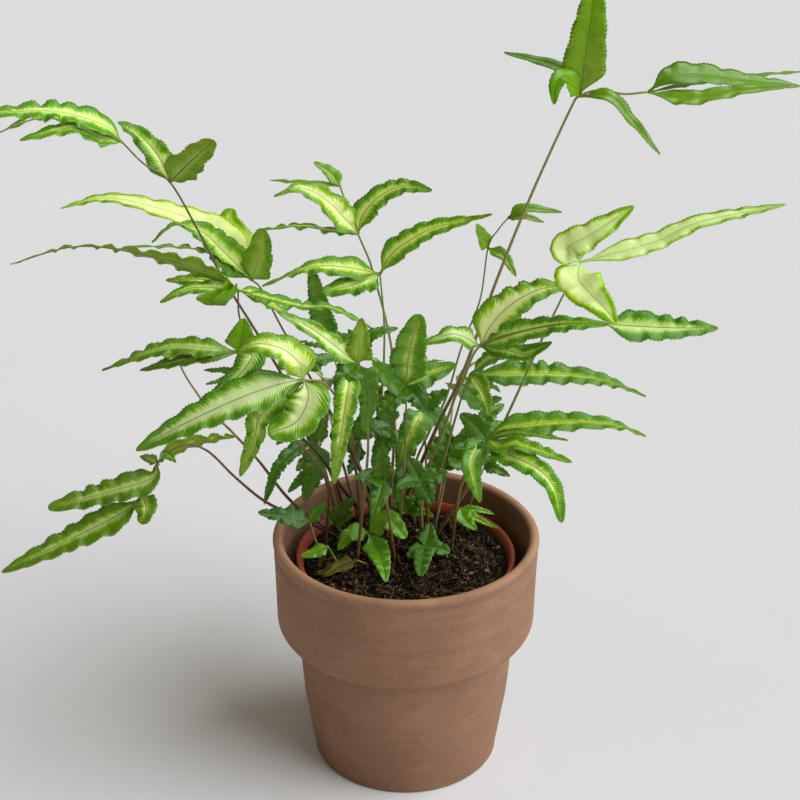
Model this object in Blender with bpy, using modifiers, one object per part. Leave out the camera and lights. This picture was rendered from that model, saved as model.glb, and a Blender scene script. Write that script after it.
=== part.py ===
"""Potted brake fern: a clay pot, a nursery pot of soil inside it and the fronds that grow there.

Blender 4.5, metres, +Z up. The origin is the middle of the clay pot's foot, on the surface it
stands on. +X is the viewer's right and -Y faces the viewer.
"""
import math
from collections import namedtuple

import bmesh
import bpy
from mathutils import Vector

MM = 0.001
COLLECTION = "potted_brake_fern"

# Every length is in mm until it is scaled by MM
FIT = 0.3
MERGE = 0.002
SHARP = math.radians(35.0)

# Clay pot
POT_HEIGHT = 131.0
POT_RIM_R = 69.0
POT_LIP_R = 63.8
POT_COLLAR_LEAN = 1.5
POT_COLLAR_ROUND = 6.5
POT_COLLAR_TOP = 123.0
POT_STEP_Z = 75.0
POT_INNER_STEP = 10.0
POT_BODY = [(56.5, 73.0), (56.0, 59.0), (54.2, 37.0), (52.2, 23.0), (50.4, 11.0), (49.0, 2.4)]
POT_WALL = 5.0
POT_FLOOR = 6.0
POT_FLAT_R = 47.6
POT_SIDES = 36

# Nursery pot
NURSERY_RIM_Z = 118.0
NURSERY_RIM_R = 57.0
NURSERY_RIM_DEEP = 3.0
NURSERY_SHOULDER_Z = 114.0
NURSERY_TOP_R = 54.5
NURSERY_FOOT_R = 42.0
NURSERY_WALL = 1.2
NURSERY_EDGE = 0.6
NURSERY_SIDES = 28
DRAIN_HOLES = 5
DRAIN_R = 3.5
DRAIN_RING_R = 26.0

# Soil
SOIL_Z = 114.0
SOIL_CROWN = 2.0
SOIL_EDGE = 3.0
SOIL_RINGS = (0.0, 0.4, 0.75, 0.95)
SOIL_SIDES = 24
ROOT_DEPTH = 14.0
HOLE_GAP = 0.4
HOLE_SIDES = 6
CUT_OVER = 4.0

# Blades: the runs are the least and the most pieces that a blade's length is split into
BLADE = 0.7
BLADE_STEP = 14.0
BLADE_RUNS = (3, 8)
SMALL_BLADE = 60.0
BLADE_ROOT_W = 1.5
BLADE_TIP_W = 0.9
SWELL = 0.24
FULLNESS = 1.15
WAVE = 0.075
NOTCH = 0.11
CHANNEL = 0.14

# Stalks
STALK_R = 0.95
THIN_STALK_R = 0.75
THICK_STALK_R = 1.1
STALK_STEP = 30.0
STALK_OVER = 1.2
COLLAR = 2.5
CURVE_STEPS = 12
SLIVER = 0.01

# Finishes: name, colour, roughness
CLAY = ("clay", (0.28, 0.16, 0.105), 0.85)
NURSERY_PLASTIC = ("nursery_plastic", (0.52, 0.13, 0.05), 0.5)
PEAT = ("peat", (0.022, 0.014, 0.010), 0.95)
GREEN = ("fern_green", (0.13, 0.30, 0.055), 0.4)
WITHERED = ("fern_withered", (0.13, 0.10, 0.03), 0.7)

# The fronds are drawn on a sheet that stands square to the sight line through the plant's middle.
# A point is (right, up, depth) in mm: right and up on that sheet, and depth is the Y that the
# point is pushed to along its own sight line, so - is nearer to the viewer.
SIGHT_TILT = math.radians(26.7)
SIGHT_DISTANCE = 944.4
SHEET_MIDDLE = Vector((-3.0, 0.0, 207.0))
SHEET_UP = Vector((0.0, math.sin(SIGHT_TILT), math.cos(SIGHT_TILT)))
EYE = SHEET_MIDDLE - SIGHT_DISTANCE * Vector((0.0, math.cos(SIGHT_TILT), -math.sin(SIGHT_TILT)))

# Ways that a blade's upper face looks
TOP = (0.0, -0.6, 1.0)
TURNED = (0.0, -0.9, 1.0)
FRONT = (0.0, -1.0, 0.6)
LEVEL = (0.0, 0.0, 1.0)
BACK = (0.0, 0.5, 1.0)
UNDER = (0.0, 1.0, 0.3)

# Ends of a blade: the part of its length where its width runs out, and the power it narrows by.
# What is left after that is a thin tail.
POINTED = (1.0, 0.56)
BLUNT = (1.0, 0.4)
SLENDER = (1.0, 0.8)
TAILED = (0.88, 0.5)
LONG_TAILED = (0.74, 0.5)

# at: number of the stalk's point that it grows from; path: its middle line after that point
Leaflet = namedtuple("Leaflet", "at path width face tip_face end", defaults=(TOP, None, POINTED))
# foot: (x, y) where the stalk leaves the soil; stalk: its points above the soil
Frond = namedtuple("Frond", "name foot stalk leaflets radius", defaults=(STALK_R,))

FRONDS = [
    Frond("frond_far_left", (-22, 37), [
        (-35, -35, 32), (-52, 0, 28), (-70, 31, 24), (-88, 60, 20), (-100, 83, 16), (-115, 109, 12),
        (-128, 118, 10), (-139, 129, 8)], [
        Leaflet(1, [(-46, -5, 30), (-39, -9, 32)], 10, TOP),
        Leaflet(5, [(-105, 119, 5), (-93, 130, 0)], 17, UNDER, None, BLUNT),
        Leaflet(5, [(-121, 122, 16), (-131, 133, 22), (-141, 139, 20)], 14, TURNED),
        Leaflet(7, [(-147, 137, 4), (-170, 144, -4), (-195, 144, -10), (-214, 141, -14)], 14, TOP),
        Leaflet(7, [(-150, 131, 2), (-165, 136, -6), (-190, 130, -14)], 11, TOP),
        Leaflet(7, [(-155, 137, 14), (-180, 141, 14), (-207, 131, 8)], 9, LEVEL)]),
    Frond("frond_left_back", (-14, 41), [
        (-30, -15, 38), (-47, 15, 38), (-59, 36, 37), (-69, 55, 35), (-74, 60, 34)], [
        Leaflet(1, [(-40, 20, 42), (-32, 21, 46)], 11, TOP),
        Leaflet(1, [(-54, 18, 42), (-62, 17, 46)], 11, TOP),
        Leaflet(4, [(-86, 72, 30), (-99, 84, 24), (-113, 88, 20), (-124, 79, 16)], 19, TURNED, None,
                LONG_TAILED),
        Leaflet(4, [(-87, 82, 44), (-112, 93, 46), (-145, 101, 42), (-170, 96, 36)], 17, TOP, None, SLENDER),
        Leaflet(4, [(-79, 76, 45), (-85, 89, 50), (-84, 96, 52)], 19, FRONT, None, BLUNT),
        Leaflet(4, [(-70, 74, 28), (-69, 86, 26)], 16, FRONT, None, BLUNT),
        Leaflet(4, [(-100, 75, 22), (-136, 77, 12)], 6, LEVEL)]),
    Frond("frond_left_long", (-30, 22), [
        (-35, -35, 14), (-57, -10, -4), (-72, 15, -18), (-80, 40, -25), (-81, 55, -26)], [
        Leaflet(4, [(-92, 62, -28), (-120, 71, -30), (-160, 77, -30), (-195, 68, -30)], 13, UNDER, LEVEL,
                SLENDER),
        Leaflet(4, [(-97, 60, -24), (-117, 60, -22)], 9, TURNED),
        Leaflet(4, [(-104, 56, -30), (-120, 49, -34)], 8, TURNED),
        Leaflet(4, [(-92, 51, -34), (-102, 51, -38)], 14, UNDER),
        Leaflet(4, [(-86, 51, -34), (-94, 50, -40)], 14, UNDER),
        Leaflet(4, [(-50, 47, -34), (-34, 46, -36), (-14, 36, -38)], 11, LEVEL),
        Leaflet(4, [(-69, 51, -20), (-54, 41, -14)], 9, TOP)]),
    Frond("frond_left_middle", (-42, 24), [
        (-55, -50, 22), (-71, -30, 14), (-84, -16, 6), (-95, -5, 0), (-106, 10, -8), (-112, 22, -10)], [
        Leaflet(5, [(-120, 26, -10), (-128, 25, -8)], 8, TOP),
        Leaflet(5, [(-118, 18, -14), (-125, 17, -16)], 7, TOP),
        Leaflet(5, [(-101, 25, -6), (-91, 28, -4)], 7, TOP),
        Leaflet(5, [(-97, 22, -14), (-82, 24, -16)], 7, TOP)]),
    Frond("frond_left_inner", (-42, 4), [
        (-37, -40, -6), (-57, -15, -22), (-69, 0, -30), (-80, 14, -38), (-81, 24, -41)], [
        Leaflet(4, [(-79, 32, -40), (-78, 41, -38)], 15, FRONT),
        Leaflet(4, [(-97, 26, -42), (-118, 26, -40), (-149, 15, -36)], 11, TOP, None, TAILED),
        Leaflet(4, [(-97, 22, -44), (-130, 15, -40)], 8, TOP),
        Leaflet(4, [(-74, 22, -48), (-82, 11, -54), (-96, 1, -58)], 14, TURNED),
        Leaflet(4, [(-69, 27, -30), (-60, 31, -22)], 10, TOP),
        Leaflet(3, [(-89, 15, -36), (-98, 15, -36)], 4, TOP),
        Leaflet(3, [(-89, 10, -42), (-97, 8, -46)], 4, TOP)]),
    Frond("frond_front_left", (-23, 13), [
        (-22, -35, 0), (-25, -15, -22), (-31, 0, -46), (-39, 9, -68), (-48, 10, -76)], [
        Leaflet(4, [(-60, 8, -80), (-80, 1, -86), (-106, -11, -88), (-132, -25, -84)], 20, TURNED),
        Leaflet(4, [(-51, 19, -78), (-60, 26, -80), (-72, 28, -80), (-81, 24, -78)], 17, TURNED),
        Leaflet(4, [(-46, 1, -82), (-52, -11, -86), (-66, -17, -88)], 20, FRONT, None, BLUNT),
        Leaflet(4, [(-69, -7, -74), (-73, -20, -74), (-80, -38, -70)], 13, FRONT)]),
    Frond("frond_low_left", (-37, 16), [
        (-50, -59, 8), (-67, -51, -4), (-82, -39, -14), (-97, -25, -24), (-110, -23, -31),
        (-121, -31, -36), (-125, -40, -37), (-129, -48, -38)], [
        Leaflet(5, [(-124, -39, -40), (-142, -45, -44), (-176, -54, -46)], 14, TURNED, None, BLUNT),
        Leaflet(7, [(-140, -57, -42), (-170, -72, -46), (-199, -86, -46)], 16, TURNED),
        Leaflet(7, [(-127, -54, -46), (-129, -62, -50)], 12, TURNED, None, BLUNT),
        Leaflet(5, [(-126, -29, -34), (-130, -28, -32)], 6, TOP),
        Leaflet(5, [(-117, -27, -41), (-112, -31, -44)], 7, TOP),
        Leaflet(5, [(-112, -24, -30), (-97, -20, -22), (-82, -18, -14)], 10, UNDER)]),
    Frond("frond_top_middle", (-9, 35), [
        (-3, -20, 36), (-4, 5, 34), (-4, 24, 32), (-8, 44, 31), (-11, 55, 30), (-15, 69, 28),
        (-21, 83, 26), (-26, 96, 28), (-30, 107, 30)], [
        Leaflet(1, [(2, 10, 38), (8, 13, 42)], 11, TOP),
        Leaflet(6, [(-27, 90, 22), (-37, 100, 18), (-50, 106, 14), (-63, 102, 10)], 15, TURNED, None, TAILED),
        Leaflet(6, [(-32, 84, 22), (-50, 87, 18), (-70, 85, 14)], 9, LEVEL),
        Leaflet(6, [(-19, 92, 28), (-10, 102, 29), (2, 107, 29), (16, 105, 25)], 13, TOP, FRONT),
        Leaflet(8, [(-40, 108, 28), (-65, 110, 24)], 7, LEVEL),
        Leaflet(8, [(-35, 114, 33), (-43, 119, 36)], 8, TOP)]),
    Frond("frond_upper_middle", (-13, 28), [
        (-7, -25, 26), (-9, 0, 24), (-8, 20, 22), (-8, 40, 20), (-10, 63, 18)], [
        Leaflet(1, [(-16, 3, 22), (-23, 4, 22)], 13, FRONT),
        Leaflet(4, [(-25, 66, 12), (-40, 67, 8), (-52, 64, 6), (-69, 57, 2)], 13, TURNED, None, LONG_TAILED),
        Leaflet(4, [(-17, 60, 12), (-26, 57, 8), (-39, 54, 4)], 13, TURNED, None, BLUNT),
        Leaflet(4, [(-5, 72, 16), (2, 78, 14), (17, 86, 12), (46, 93, 8)], 13, TURNED, None, TAILED)]),
    Frond("frond_dark_back", (-15, 45), [
        (-25, -20, 58), (-30, 10, 60), (-34, 25, 60)], [
        Leaflet(2, [(-39, 41, 62), (-45, 69, 62)], 14, FRONT),
        Leaflet(2, [(-25, 32, 78), (-19, 37, 92)], 13, BACK),
        Leaflet(2, [(-42, 27, 74), (-51, 30, 88)], 12, BACK)]),
    Frond("frond_tall_right", (-4, 40), [
        (9, -35, 28), (20, -10, 10), (32, 15, -8), (48, 59, -14), (65, 101, -18), (85, 145, -20),
        (90, 152, -21), (100, 155, -23), (112, 153, -25), (124, 154, -26)], [
        Leaflet(6, [(92, 167, -21), (93, 175, -21), (96, 195, -19), (97, 218, -15)], 20, FRONT),
        Leaflet(6, [(80, 166, -15), (52, 174, -5)], 7, TOP),
        Leaflet(6, [(83, 162, -27), (78, 158, -31), (77, 148, -33)], 11, TURNED),
        Leaflet(6, [(105, 152, -27), (117, 139, -31), (130, 123, -35)], 7, TOP),
        Leaflet(9, [(135, 162, -23), (150, 163, -21), (172, 160, -19), (200, 157, -15)], 13, TOP),
        Leaflet(9, [(145, 151, -31), (170, 155, -31), (195, 157, -31)], 9, TOP),
        Leaflet(9, [(145, 158, -15), (174, 162, -7), (212, 165, 3)], 6, LEVEL)], THICK_STALK_R),
    Frond("frond_small_top_right", (8, 47), [
        (7, -35, 50), (15, -15, 46), (23, 1, 42), (31, 27, 34), (40, 50, 28), (44, 76, 22),
        (49, 85, 20), (54, 91, 18)], [
        Leaflet(5, [(41, 82, 18), (38, 88, 14)], 9, TURNED),
        Leaflet(5, [(52, 72, 16), (58, 62, 12)], 7, TOP),
        Leaflet(7, [(62, 96, 18), (81, 94, 18)], 6, TOP),
        Leaflet(7, [(62, 92, 14), (72, 89, 12)], 5, TOP)], THIN_STALK_R),
    Frond("frond_right_pale", (18, 22), [
        (35, -42, 4), (45, -25, -8), (54, -7, -26), (64, 15, -44), (76, 41, -50), (90, 69, -52)], [
        Leaflet(5, [(84, 76, -55), (96, 83, -55), (117, 97, -50)], 16, TURNED),
        Leaflet(5, [(110, 74, -50), (130, 80, -46), (150, 89, -42), (193, 98, -34)], 11, TOP),
        Leaflet(5, [(89, 61, -62), (95, 53, -72), (102, 46, -80), (108, 38, -86)], 21, FRONT)]),
    Frond("frond_right_upper", (8, 20), [
        (12, -40, 14), (20, -20, 0), (27, 0, -18), (32, 11, -32), (40, 27, -44), (60, 34, -56),
        (82, 38, -62), (102, 38, -64)], [
        Leaflet(4, [(46, 38, -44), (56, 48, -43), (69, 55, -40), (83, 57, -38)], 20, TURNED),
        Leaflet(4, [(60, 34, -56), (82, 38, -62), (104, 38, -64)], 13, TURNED),
        Leaflet(7, [(116, 37, -64), (136, 36, -64), (159, 36, -62)], 16, TURNED),
        Leaflet(4, [(27, 33, -46), (12, 28, -46)], 11, TOP),
        Leaflet(4, [(53, 25, -50), (63, 23, -54), (76, 29, -58)], 10, TURNED)]),
    Frond("frond_right_middle", (11, 36), [
        (20, -35, 24), (26, -15, 10), (31, 2, -6), (35, 13, -15)], [
        Leaflet(3, [(55, 13, -18), (78, 13, -20), (102, 10, -22), (123, 2, -24)], 15, TOP, None, TAILED),
        Leaflet(3, [(45, 21, -22), (57, 24, -26), (76, 29, -32)], 9, TOP),
        Leaflet(3, [(41, 4, -26), (45, -8, -32)], 11, FRONT),
        Leaflet(2, [(40, -1, 2), (51, 1, 4)], 11, TURNED)]),
    Frond("frond_right_lower", (24, 6), [
        (30, -45, -12), (37, -30, -30), (43, -19, -42)], [
        Leaflet(2, [(54, -14, -44), (80, -11, -46), (106, -12, -48), (123, -18, -48)], 14, TOP, None, TAILED),
        Leaflet(2, [(60, -16, -52), (84, -20, -58)], 5, TOP),
        Leaflet(2, [(50, -23, -54), (60, -22, -60), (86, -31, -68)], 10, TOP),
        Leaflet(2, [(54, -27, -58), (68, -34, -70), (77, -44, -76), (81, -61, -80)], 12, TURNED, None, BLUNT),
        Leaflet(2, [(37, -27, -50), (36, -35, -56), (40, -51, -60)], 12, FRONT),
        Leaflet(2, [(35, -22, -46), (27, -24, -50)], 8, TOP),
        Leaflet(2, [(37, -12, -34), (30, -7, -28)], 13, FRONT),
        Leaflet(2, [(50, -28, -36), (61, -31, -32)], 8, TOP)]),
    Frond("frond_right_small", (32, 35), [
        (39, -41, 24), (42, -34, 20)], [
        Leaflet(1, [(47, -34, 16), (55, -38, 12)], 7, TURNED),
        Leaflet(1, [(46, -30, 22), (50, -27, 24)], 8, TOP)], THIN_STALK_R),
    Frond("frond_middle", (-4, 12), [
        (2, -35, 6), (3, -10, 4), (3, 7, 0)], [
        Leaflet(2, [(5, 25, 0), (10, 43, 0)], 19, FRONT, None, BLUNT),
        Leaflet(2, [(-5, 11, -4), (-14, 19, -8)], 15, TURNED),
        Leaflet(2, [(12, 12, 4), (28, 18, 8)], 15, TURNED),
        Leaflet(2, [(-3, 1, -8), (-11, -8, -12)], 13, TURNED),
        Leaflet(2, [(9, 1, -6), (13, -6, -8)], 12, TURNED)]),
    Frond("frond_middle_left", (-25, -5), [
        (-16, -25, -12), (-18, -5, -28), (-21, 18, -46)], [
        Leaflet(2, [(-30, 25, -50), (-45, 36, -52), (-61, 44, -54)], 11, TURNED),
        Leaflet(2, [(-26, 25, -44), (-31, 34, -46)], 9, TOP),
        Leaflet(2, [(-20, 29, -50), (-19, 41, -52)], 13, FRONT),
        Leaflet(2, [(-18, 28, -47), (-11, 34, -46), (-1, 36, -44)], 9, TOP),
        Leaflet(2, [(-27, 13, -54), (-32, 3, -56)], 13, FRONT),
        Leaflet(2, [(-17, 9, -38), (-16, -2, -34), (-18, -16, -32)], 13, FRONT),
        Leaflet(2, [(-25, 10, -55), (-27, 0, -62), (-31, -27, -65), (-33, -42, -62)], 12, FRONT)]),
    Frond("frond_inner_left", (-34, 34), [
        (-33, -42, 30), (-38, -30, 26), (-42, -21, 24)], [
        Leaflet(2, [(-50, -23, 20), (-61, -34, 10), (-68, -52, 4)], 9, TOP),
        Leaflet(2, [(-42, -32, 22), (-48, -50, 18)], 15, FRONT),
        Leaflet(2, [(-40, -12, 22), (-36, -4, 18)], 11, FRONT),
        Leaflet(1, [(-49, -39, 22), (-56, -46, 18)], 8, FRONT)], THIN_STALK_R),
    Frond("frond_rim_left", (-44, -6), [
        (-45, -61, -8)], [
        Leaflet(0, [(-57, -58, -9), (-71, -56, -8)], 12, TOP),
        Leaflet(0, [(-41, -55, -6), (-37, -51, -6)], 7, TOP)], THIN_STALK_R),
    Frond("frond_low_middle_left", (-14, 6), [
        (-16, -66, 6)], [
        Leaflet(0, [(-25, -67, 3), (-31, -75, -1)], 11, TOP),
        Leaflet(0, [(-13, -72, 2), (-9, -81, -16), (-7, -91, -29)], 14, TOP),
        Leaflet(0, [(-6, -60, 4), (3, -69, -2)], 13, TOP, None, BLUNT)], THIN_STALK_R),
    Frond("frond_low_middle", (5, 33), [
        (4, -56, 32)], [
        Leaflet(0, [(11, -56, 30), (17, -58, 27)], 7, TOP),
        Leaflet(0, [(0, -53, 32), (-5, -52, 31)], 7, TOP),
        Leaflet(0, [(7, -51, 33), (10, -46, 35)], 9, FRONT),
        Leaflet(0, [(1, -50, 30), (-2, -44, 29)], 10, FRONT)], THIN_STALK_R),
    Frond("frond_low_front", (10, 4), [
        (12, -73, 0)], [
        Leaflet(0, [(14, -68, 4), (15, -62, 8)], 10, TOP, None, BLUNT),
        Leaflet(0, [(19, -74, -2), (25, -76, -4)], 10, TOP, None, BLUNT),
        Leaflet(0, [(11, -80, -12), (10, -88, -26)], 10, TOP, None, BLUNT),
        Leaflet(0, [(7, -76, -3), (4, -79, -6)], 8, TOP, None, BLUNT)], THIN_STALK_R),
    Frond("frond_low_right", (24, 30), [
        (30, -54, 28)], [
        Leaflet(0, [(32, -59, 22), (38, -65, 14)], 10, TOP),
        Leaflet(0, [(40, -55, 26), (47, -57, 24)], 5, TOP),
        Leaflet(0, [(40, -60, 20), (49, -64, 14)], 5, TOP)], THIN_STALK_R),
    Frond("frond_low_left_small", (-30, 12), [
        (-33, -62, 14)], [
        Leaflet(0, [(-28, -59, 12), (-23, -56, 10)], 8, TOP),
        Leaflet(0, [(-36, -57, 16), (-40, -53, 16)], 7, TOP),
        Leaflet(0, [(-28, -54, 13), (-23, -49, 12)], 10, FRONT)], THIN_STALK_R),
    Frond("frond_rim_front_left", (-36, -9), [
        (-36, -73, -11)], [
        Leaflet(0, [(-42, -76, -13), (-50, -78, -14)], 8, TOP)], THIN_STALK_R),
    Frond("frond_withered", (-20, -12), [
        (-22, -80, -14)], [
        Leaflet(0, [(-30, -83, -18), (-38, -88, -24)], 8, TOP),
        Leaflet(0, [(-33, -84, -16), (-42, -87, -19)], 7, TOP)], THIN_STALK_R),
    Frond("frond_core_left", (-10, 17), [
        (-8, -40, 16), (-4, -13, 14)], [
        Leaflet(1, [(-12, -14, 8), (-20, -19, 4)], 14, TURNED),
        Leaflet(1, [(-8, -4, 14), (-13, 3, 12)], 12, FRONT),
        Leaflet(1, [(-9, -24, 8), (-14, -33, 4)], 12, TURNED)]),
    Frond("frond_core_right", (12, 24), [
        (13, -45, 26), (13, -30, 30), (12, -4, 28)], [
        Leaflet(2, [(8, -12, 18), (2, -25, 13), (-1, -34, 12)], 16, FRONT),
        Leaflet(2, [(18, 1, 30), (24, 5, 32)], 11, TOP),
        Leaflet(2, [(8, 5, 30), (3, 11, 32)], 11, FRONT),
        Leaflet(2, [(19, -9, 32), (26, -17, 34)], 12, TURNED)]),
    Frond("frond_core_low", (9, 9), [
        (10, -40, 4)], [
        Leaflet(0, [(13, -46, 2), (16, -52, 0)], 12, FRONT),
        Leaflet(0, [(4, -41, -2), (-2, -44, -6)], 11, TOP),
        Leaflet(0, [(17, -38, 6), (24, -36, 8)], 12, FRONT),
        Leaflet(0, [(7, -34, 7), (3, -28, 8)], 11, FRONT)]),
    Frond("frond_core_low_right", (16, 29), [
        (22, -42, 32), (24, -28, 34)], [
        Leaflet(1, [(31, -21, 34), (35, -12, 32)], 12, FRONT),
        Leaflet(1, [(31, -32, 30), (38, -36, 28)], 11, TOP),
        Leaflet(1, [(18, -34, 32), (13, -41, 30)], 11, TURNED),
        Leaflet(1, [(23, -19, 38), (20, -11, 40)], 11, FRONT)]),
    Frond("frond_core_back", (5, 40), [
        (4, -44, 42)], [
        Leaflet(0, [(-4, -41, 46), (-11, -41, 48)], 11, TOP),
        Leaflet(0, [(1, -33, 48), (-1, -26, 52)], 11, FRONT)], THIN_STALK_R),
    Frond("frond_core_back_left", (-18, 40), [
        (-20, -38, 44), (-20, -20, 46)], [
        Leaflet(1, [(-28, -20, 48), (-34, -25, 50)], 12, TOP),
        Leaflet(1, [(-18, -11, 48), (-14, -3, 50)], 12, FRONT),
        Leaflet(1, [(-22, -28, 50), (-26, -37, 54)], 11, TOP)], THIN_STALK_R),
    Frond("frond_core_front_left", (-6, -4), [
        (-8, -40, -16)], [
        Leaflet(0, [(-16, -38, -20), (-23, -39, -22)], 11, TOP),
        Leaflet(0, [(-11, -50, -24), (-14, -58, -28)], 11, FRONT),
        Leaflet(0, [(-9, -31, -20), (-8, -22, -24)], 11, FRONT)]),
    Frond("frond_back_left", (-26, 39), [
        (-34, -12, 62), (-38, 10, 92)], [
        Leaflet(0, [(-28, -19, 62), (-23, -27, 60)], 12, FRONT),
        Leaflet(1, [(-52, 8, 108), (-62, 0, 118)], 13, BACK),
        Leaflet(1, [(-40, 6, 115), (-42, 0, 138)], 14, LEVEL),
        Leaflet(1, [(-28, 10, 112), (-22, 6, 128)], 13, BACK),
        Leaflet(1, [(-45, 17, 98), (-53, 20, 104)], 11, BACK)]),
    Frond("frond_back_middle", (0, 47), [
        (-2, -15, 72), (-4, 12, 100)], [
        Leaflet(0, [(-8, -21, 70), (-14, -26, 68)], 12, FRONT),
        Leaflet(0, [(4, -21, 72), (7, -28, 72)], 12, FRONT),
        Leaflet(1, [(-12, 14, 120), (-16, 8, 145)], 14, LEVEL),
        Leaflet(1, [(4, 14, 122), (8, 8, 148)], 14, LEVEL),
        Leaflet(1, [(8, 18, 108), (22, 20, 118)], 13, BACK),
        Leaflet(1, [(-14, 20, 106), (-26, 24, 116)], 13, BACK)]),
    Frond("frond_back_right", (17, 44), [
        (24, -20, 68), (28, 8, 90)], [
        Leaflet(0, [(18, -25, 66), (12, -29, 64)], 12, FRONT),
        Leaflet(0, [(30, -26, 70), (36, -31, 72)], 12, TURNED),
        Leaflet(1, [(40, 10, 104), (50, 4, 114)], 13, BACK),
        Leaflet(1, [(30, 6, 114), (32, 0, 134)], 14, LEVEL),
        Leaflet(1, [(34, 16, 92), (42, 22, 96)], 11, BACK)]),
    Frond("frond_side_right", (26, 41), [
        (36, -24, 44), (40, -12, 66)], [
        Leaflet(0, [(29, -29, 48), (24, -35, 50)], 11, FRONT),
        Leaflet(1, [(50, -14, 76), (60, -20, 84)], 12, TOP),
        Leaflet(1, [(42, -18, 84), (44, -26, 98)], 12, LEVEL),
        Leaflet(1, [(46, -6, 70), (52, -2, 76)], 10, TOP)]),
    Frond("frond_side_left", (-36, 30), [
        (-40, -24, 44), (-42, -14, 66)], [
        Leaflet(0, [(-46, -29, 50), (-52, -35, 54)], 11, TURNED),
        Leaflet(1, [(-52, -14, 74), (-62, -22, 80)], 12, TOP),
        Leaflet(1, [(-42, -20, 84), (-44, -28, 98)], 12, LEVEL),
        Leaflet(1, [(-46, -6, 72), (-50, -2, 80)], 10, TOP)]),
]


def clear_scene():
    """Remove every object of the scene."""
    for obj in list(bpy.data.objects):
        bpy.data.objects.remove(obj, do_unlink=True)


def new_collection(name):
    """A collection linked to the scene."""
    group = bpy.data.collections.new(name)
    bpy.context.scene.collection.children.link(group)
    return group


def finish(name, colour, roughness):
    """A material of one colour."""
    material = bpy.data.materials.new(name)
    material.use_nodes = True
    shader = material.node_tree.nodes["Principled BSDF"]
    shader.inputs["Base Color"].default_value = (*colour, 1.0)
    shader.inputs["Roughness"].default_value = roughness
    shader.inputs["Metallic"].default_value = 0.0
    return material


def add_object(name, mesh, group):
    """An object of a mesh, linked to a collection."""
    obj = bpy.data.objects.new(name, mesh)
    group.objects.link(obj)
    return obj


def as_mesh(obj, merge=MERGE):
    """The object's evaluated shape as a mesh of its own, with points nearer than merge, in mm,
    made one."""
    graph = bpy.context.evaluated_depsgraph_get()
    graph.update()
    mesh = bpy.data.meshes.new_from_object(obj.evaluated_get(graph))
    bm = bmesh.new()
    bm.from_mesh(mesh)
    bmesh.ops.remove_doubles(bm, verts=bm.verts, dist=merge * MM)
    bm.to_mesh(mesh)
    bm.free()
    return mesh


def arc(centre, radius, start, end, steps):
    """Points (r, z) on an arc, with angles in degrees."""
    points = []
    for i in range(steps + 1):
        angle = math.radians(start + (end - start) * i / steps)
        points.append((centre[0] + radius * math.cos(angle), centre[1] + radius * math.sin(angle)))
    return points


def turned(name, profile, sides, group):
    """A solid of revolution. The profile (r, z) in mm runs from the axis at the top, down the
    outer side and back to the axis at the bottom."""
    mesh = bpy.data.meshes.new(name)
    bm = bmesh.new()
    verts = [bm.verts.new((r * MM, 0.0, z * MM)) for r, z in profile]
    for first, second in zip(verts, verts[1:]):
        bm.edges.new((first, second))
    bm.to_mesh(mesh)
    bm.free()
    obj = add_object(name, mesh, group)
    screw = obj.modifiers.new("Turn", "SCREW")
    screw.angle = math.tau
    screw.steps = sides
    screw.render_steps = sides
    screw.use_merge_vertices = True
    screw.merge_threshold = 0.00001
    turned_mesh = as_mesh(obj)
    obj.modifiers.clear()
    obj.data = turned_mesh
    bpy.data.meshes.remove(mesh)
    return obj


def clay_pot(group):
    """The outer pot: round lip, upright collar, step and tapered body, with a solid floor."""
    inner = [(r - POT_WALL, z) for r, z in reversed(POT_BODY) if z > POT_FLOOR]
    half_lip = (POT_RIM_R - POT_LIP_R) / 2
    round_r = POT_RIM_R - POT_COLLAR_LEAN - POT_COLLAR_ROUND
    round_z = POT_STEP_Z + POT_COLLAR_LEAN + POT_COLLAR_ROUND
    profile = [(0.0, POT_FLOOR), (inner[0][0], POT_FLOOR)]
    profile += inner[1:]
    profile += [(POT_LIP_R - POT_COLLAR_LEAN, POT_STEP_Z + POT_INNER_STEP)]
    profile += arc((POT_LIP_R + half_lip, POT_HEIGHT - half_lip), half_lip, 180.0, 0.0, 4)
    profile += [(POT_RIM_R - POT_COLLAR_LEAN / 3, POT_COLLAR_TOP)]
    profile += arc((round_r, round_z), POT_COLLAR_ROUND, 0.0, -75.0, 3)
    profile += [(POT_BODY[0][0], POT_STEP_Z)]
    profile += POT_BODY
    profile += [(POT_FLAT_R, 0.0), (0.0, 0.0)]
    obj = turned("clay_pot", profile, POT_SIDES, group)
    obj.data.materials.append(finish(*CLAY))
    return obj


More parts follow.
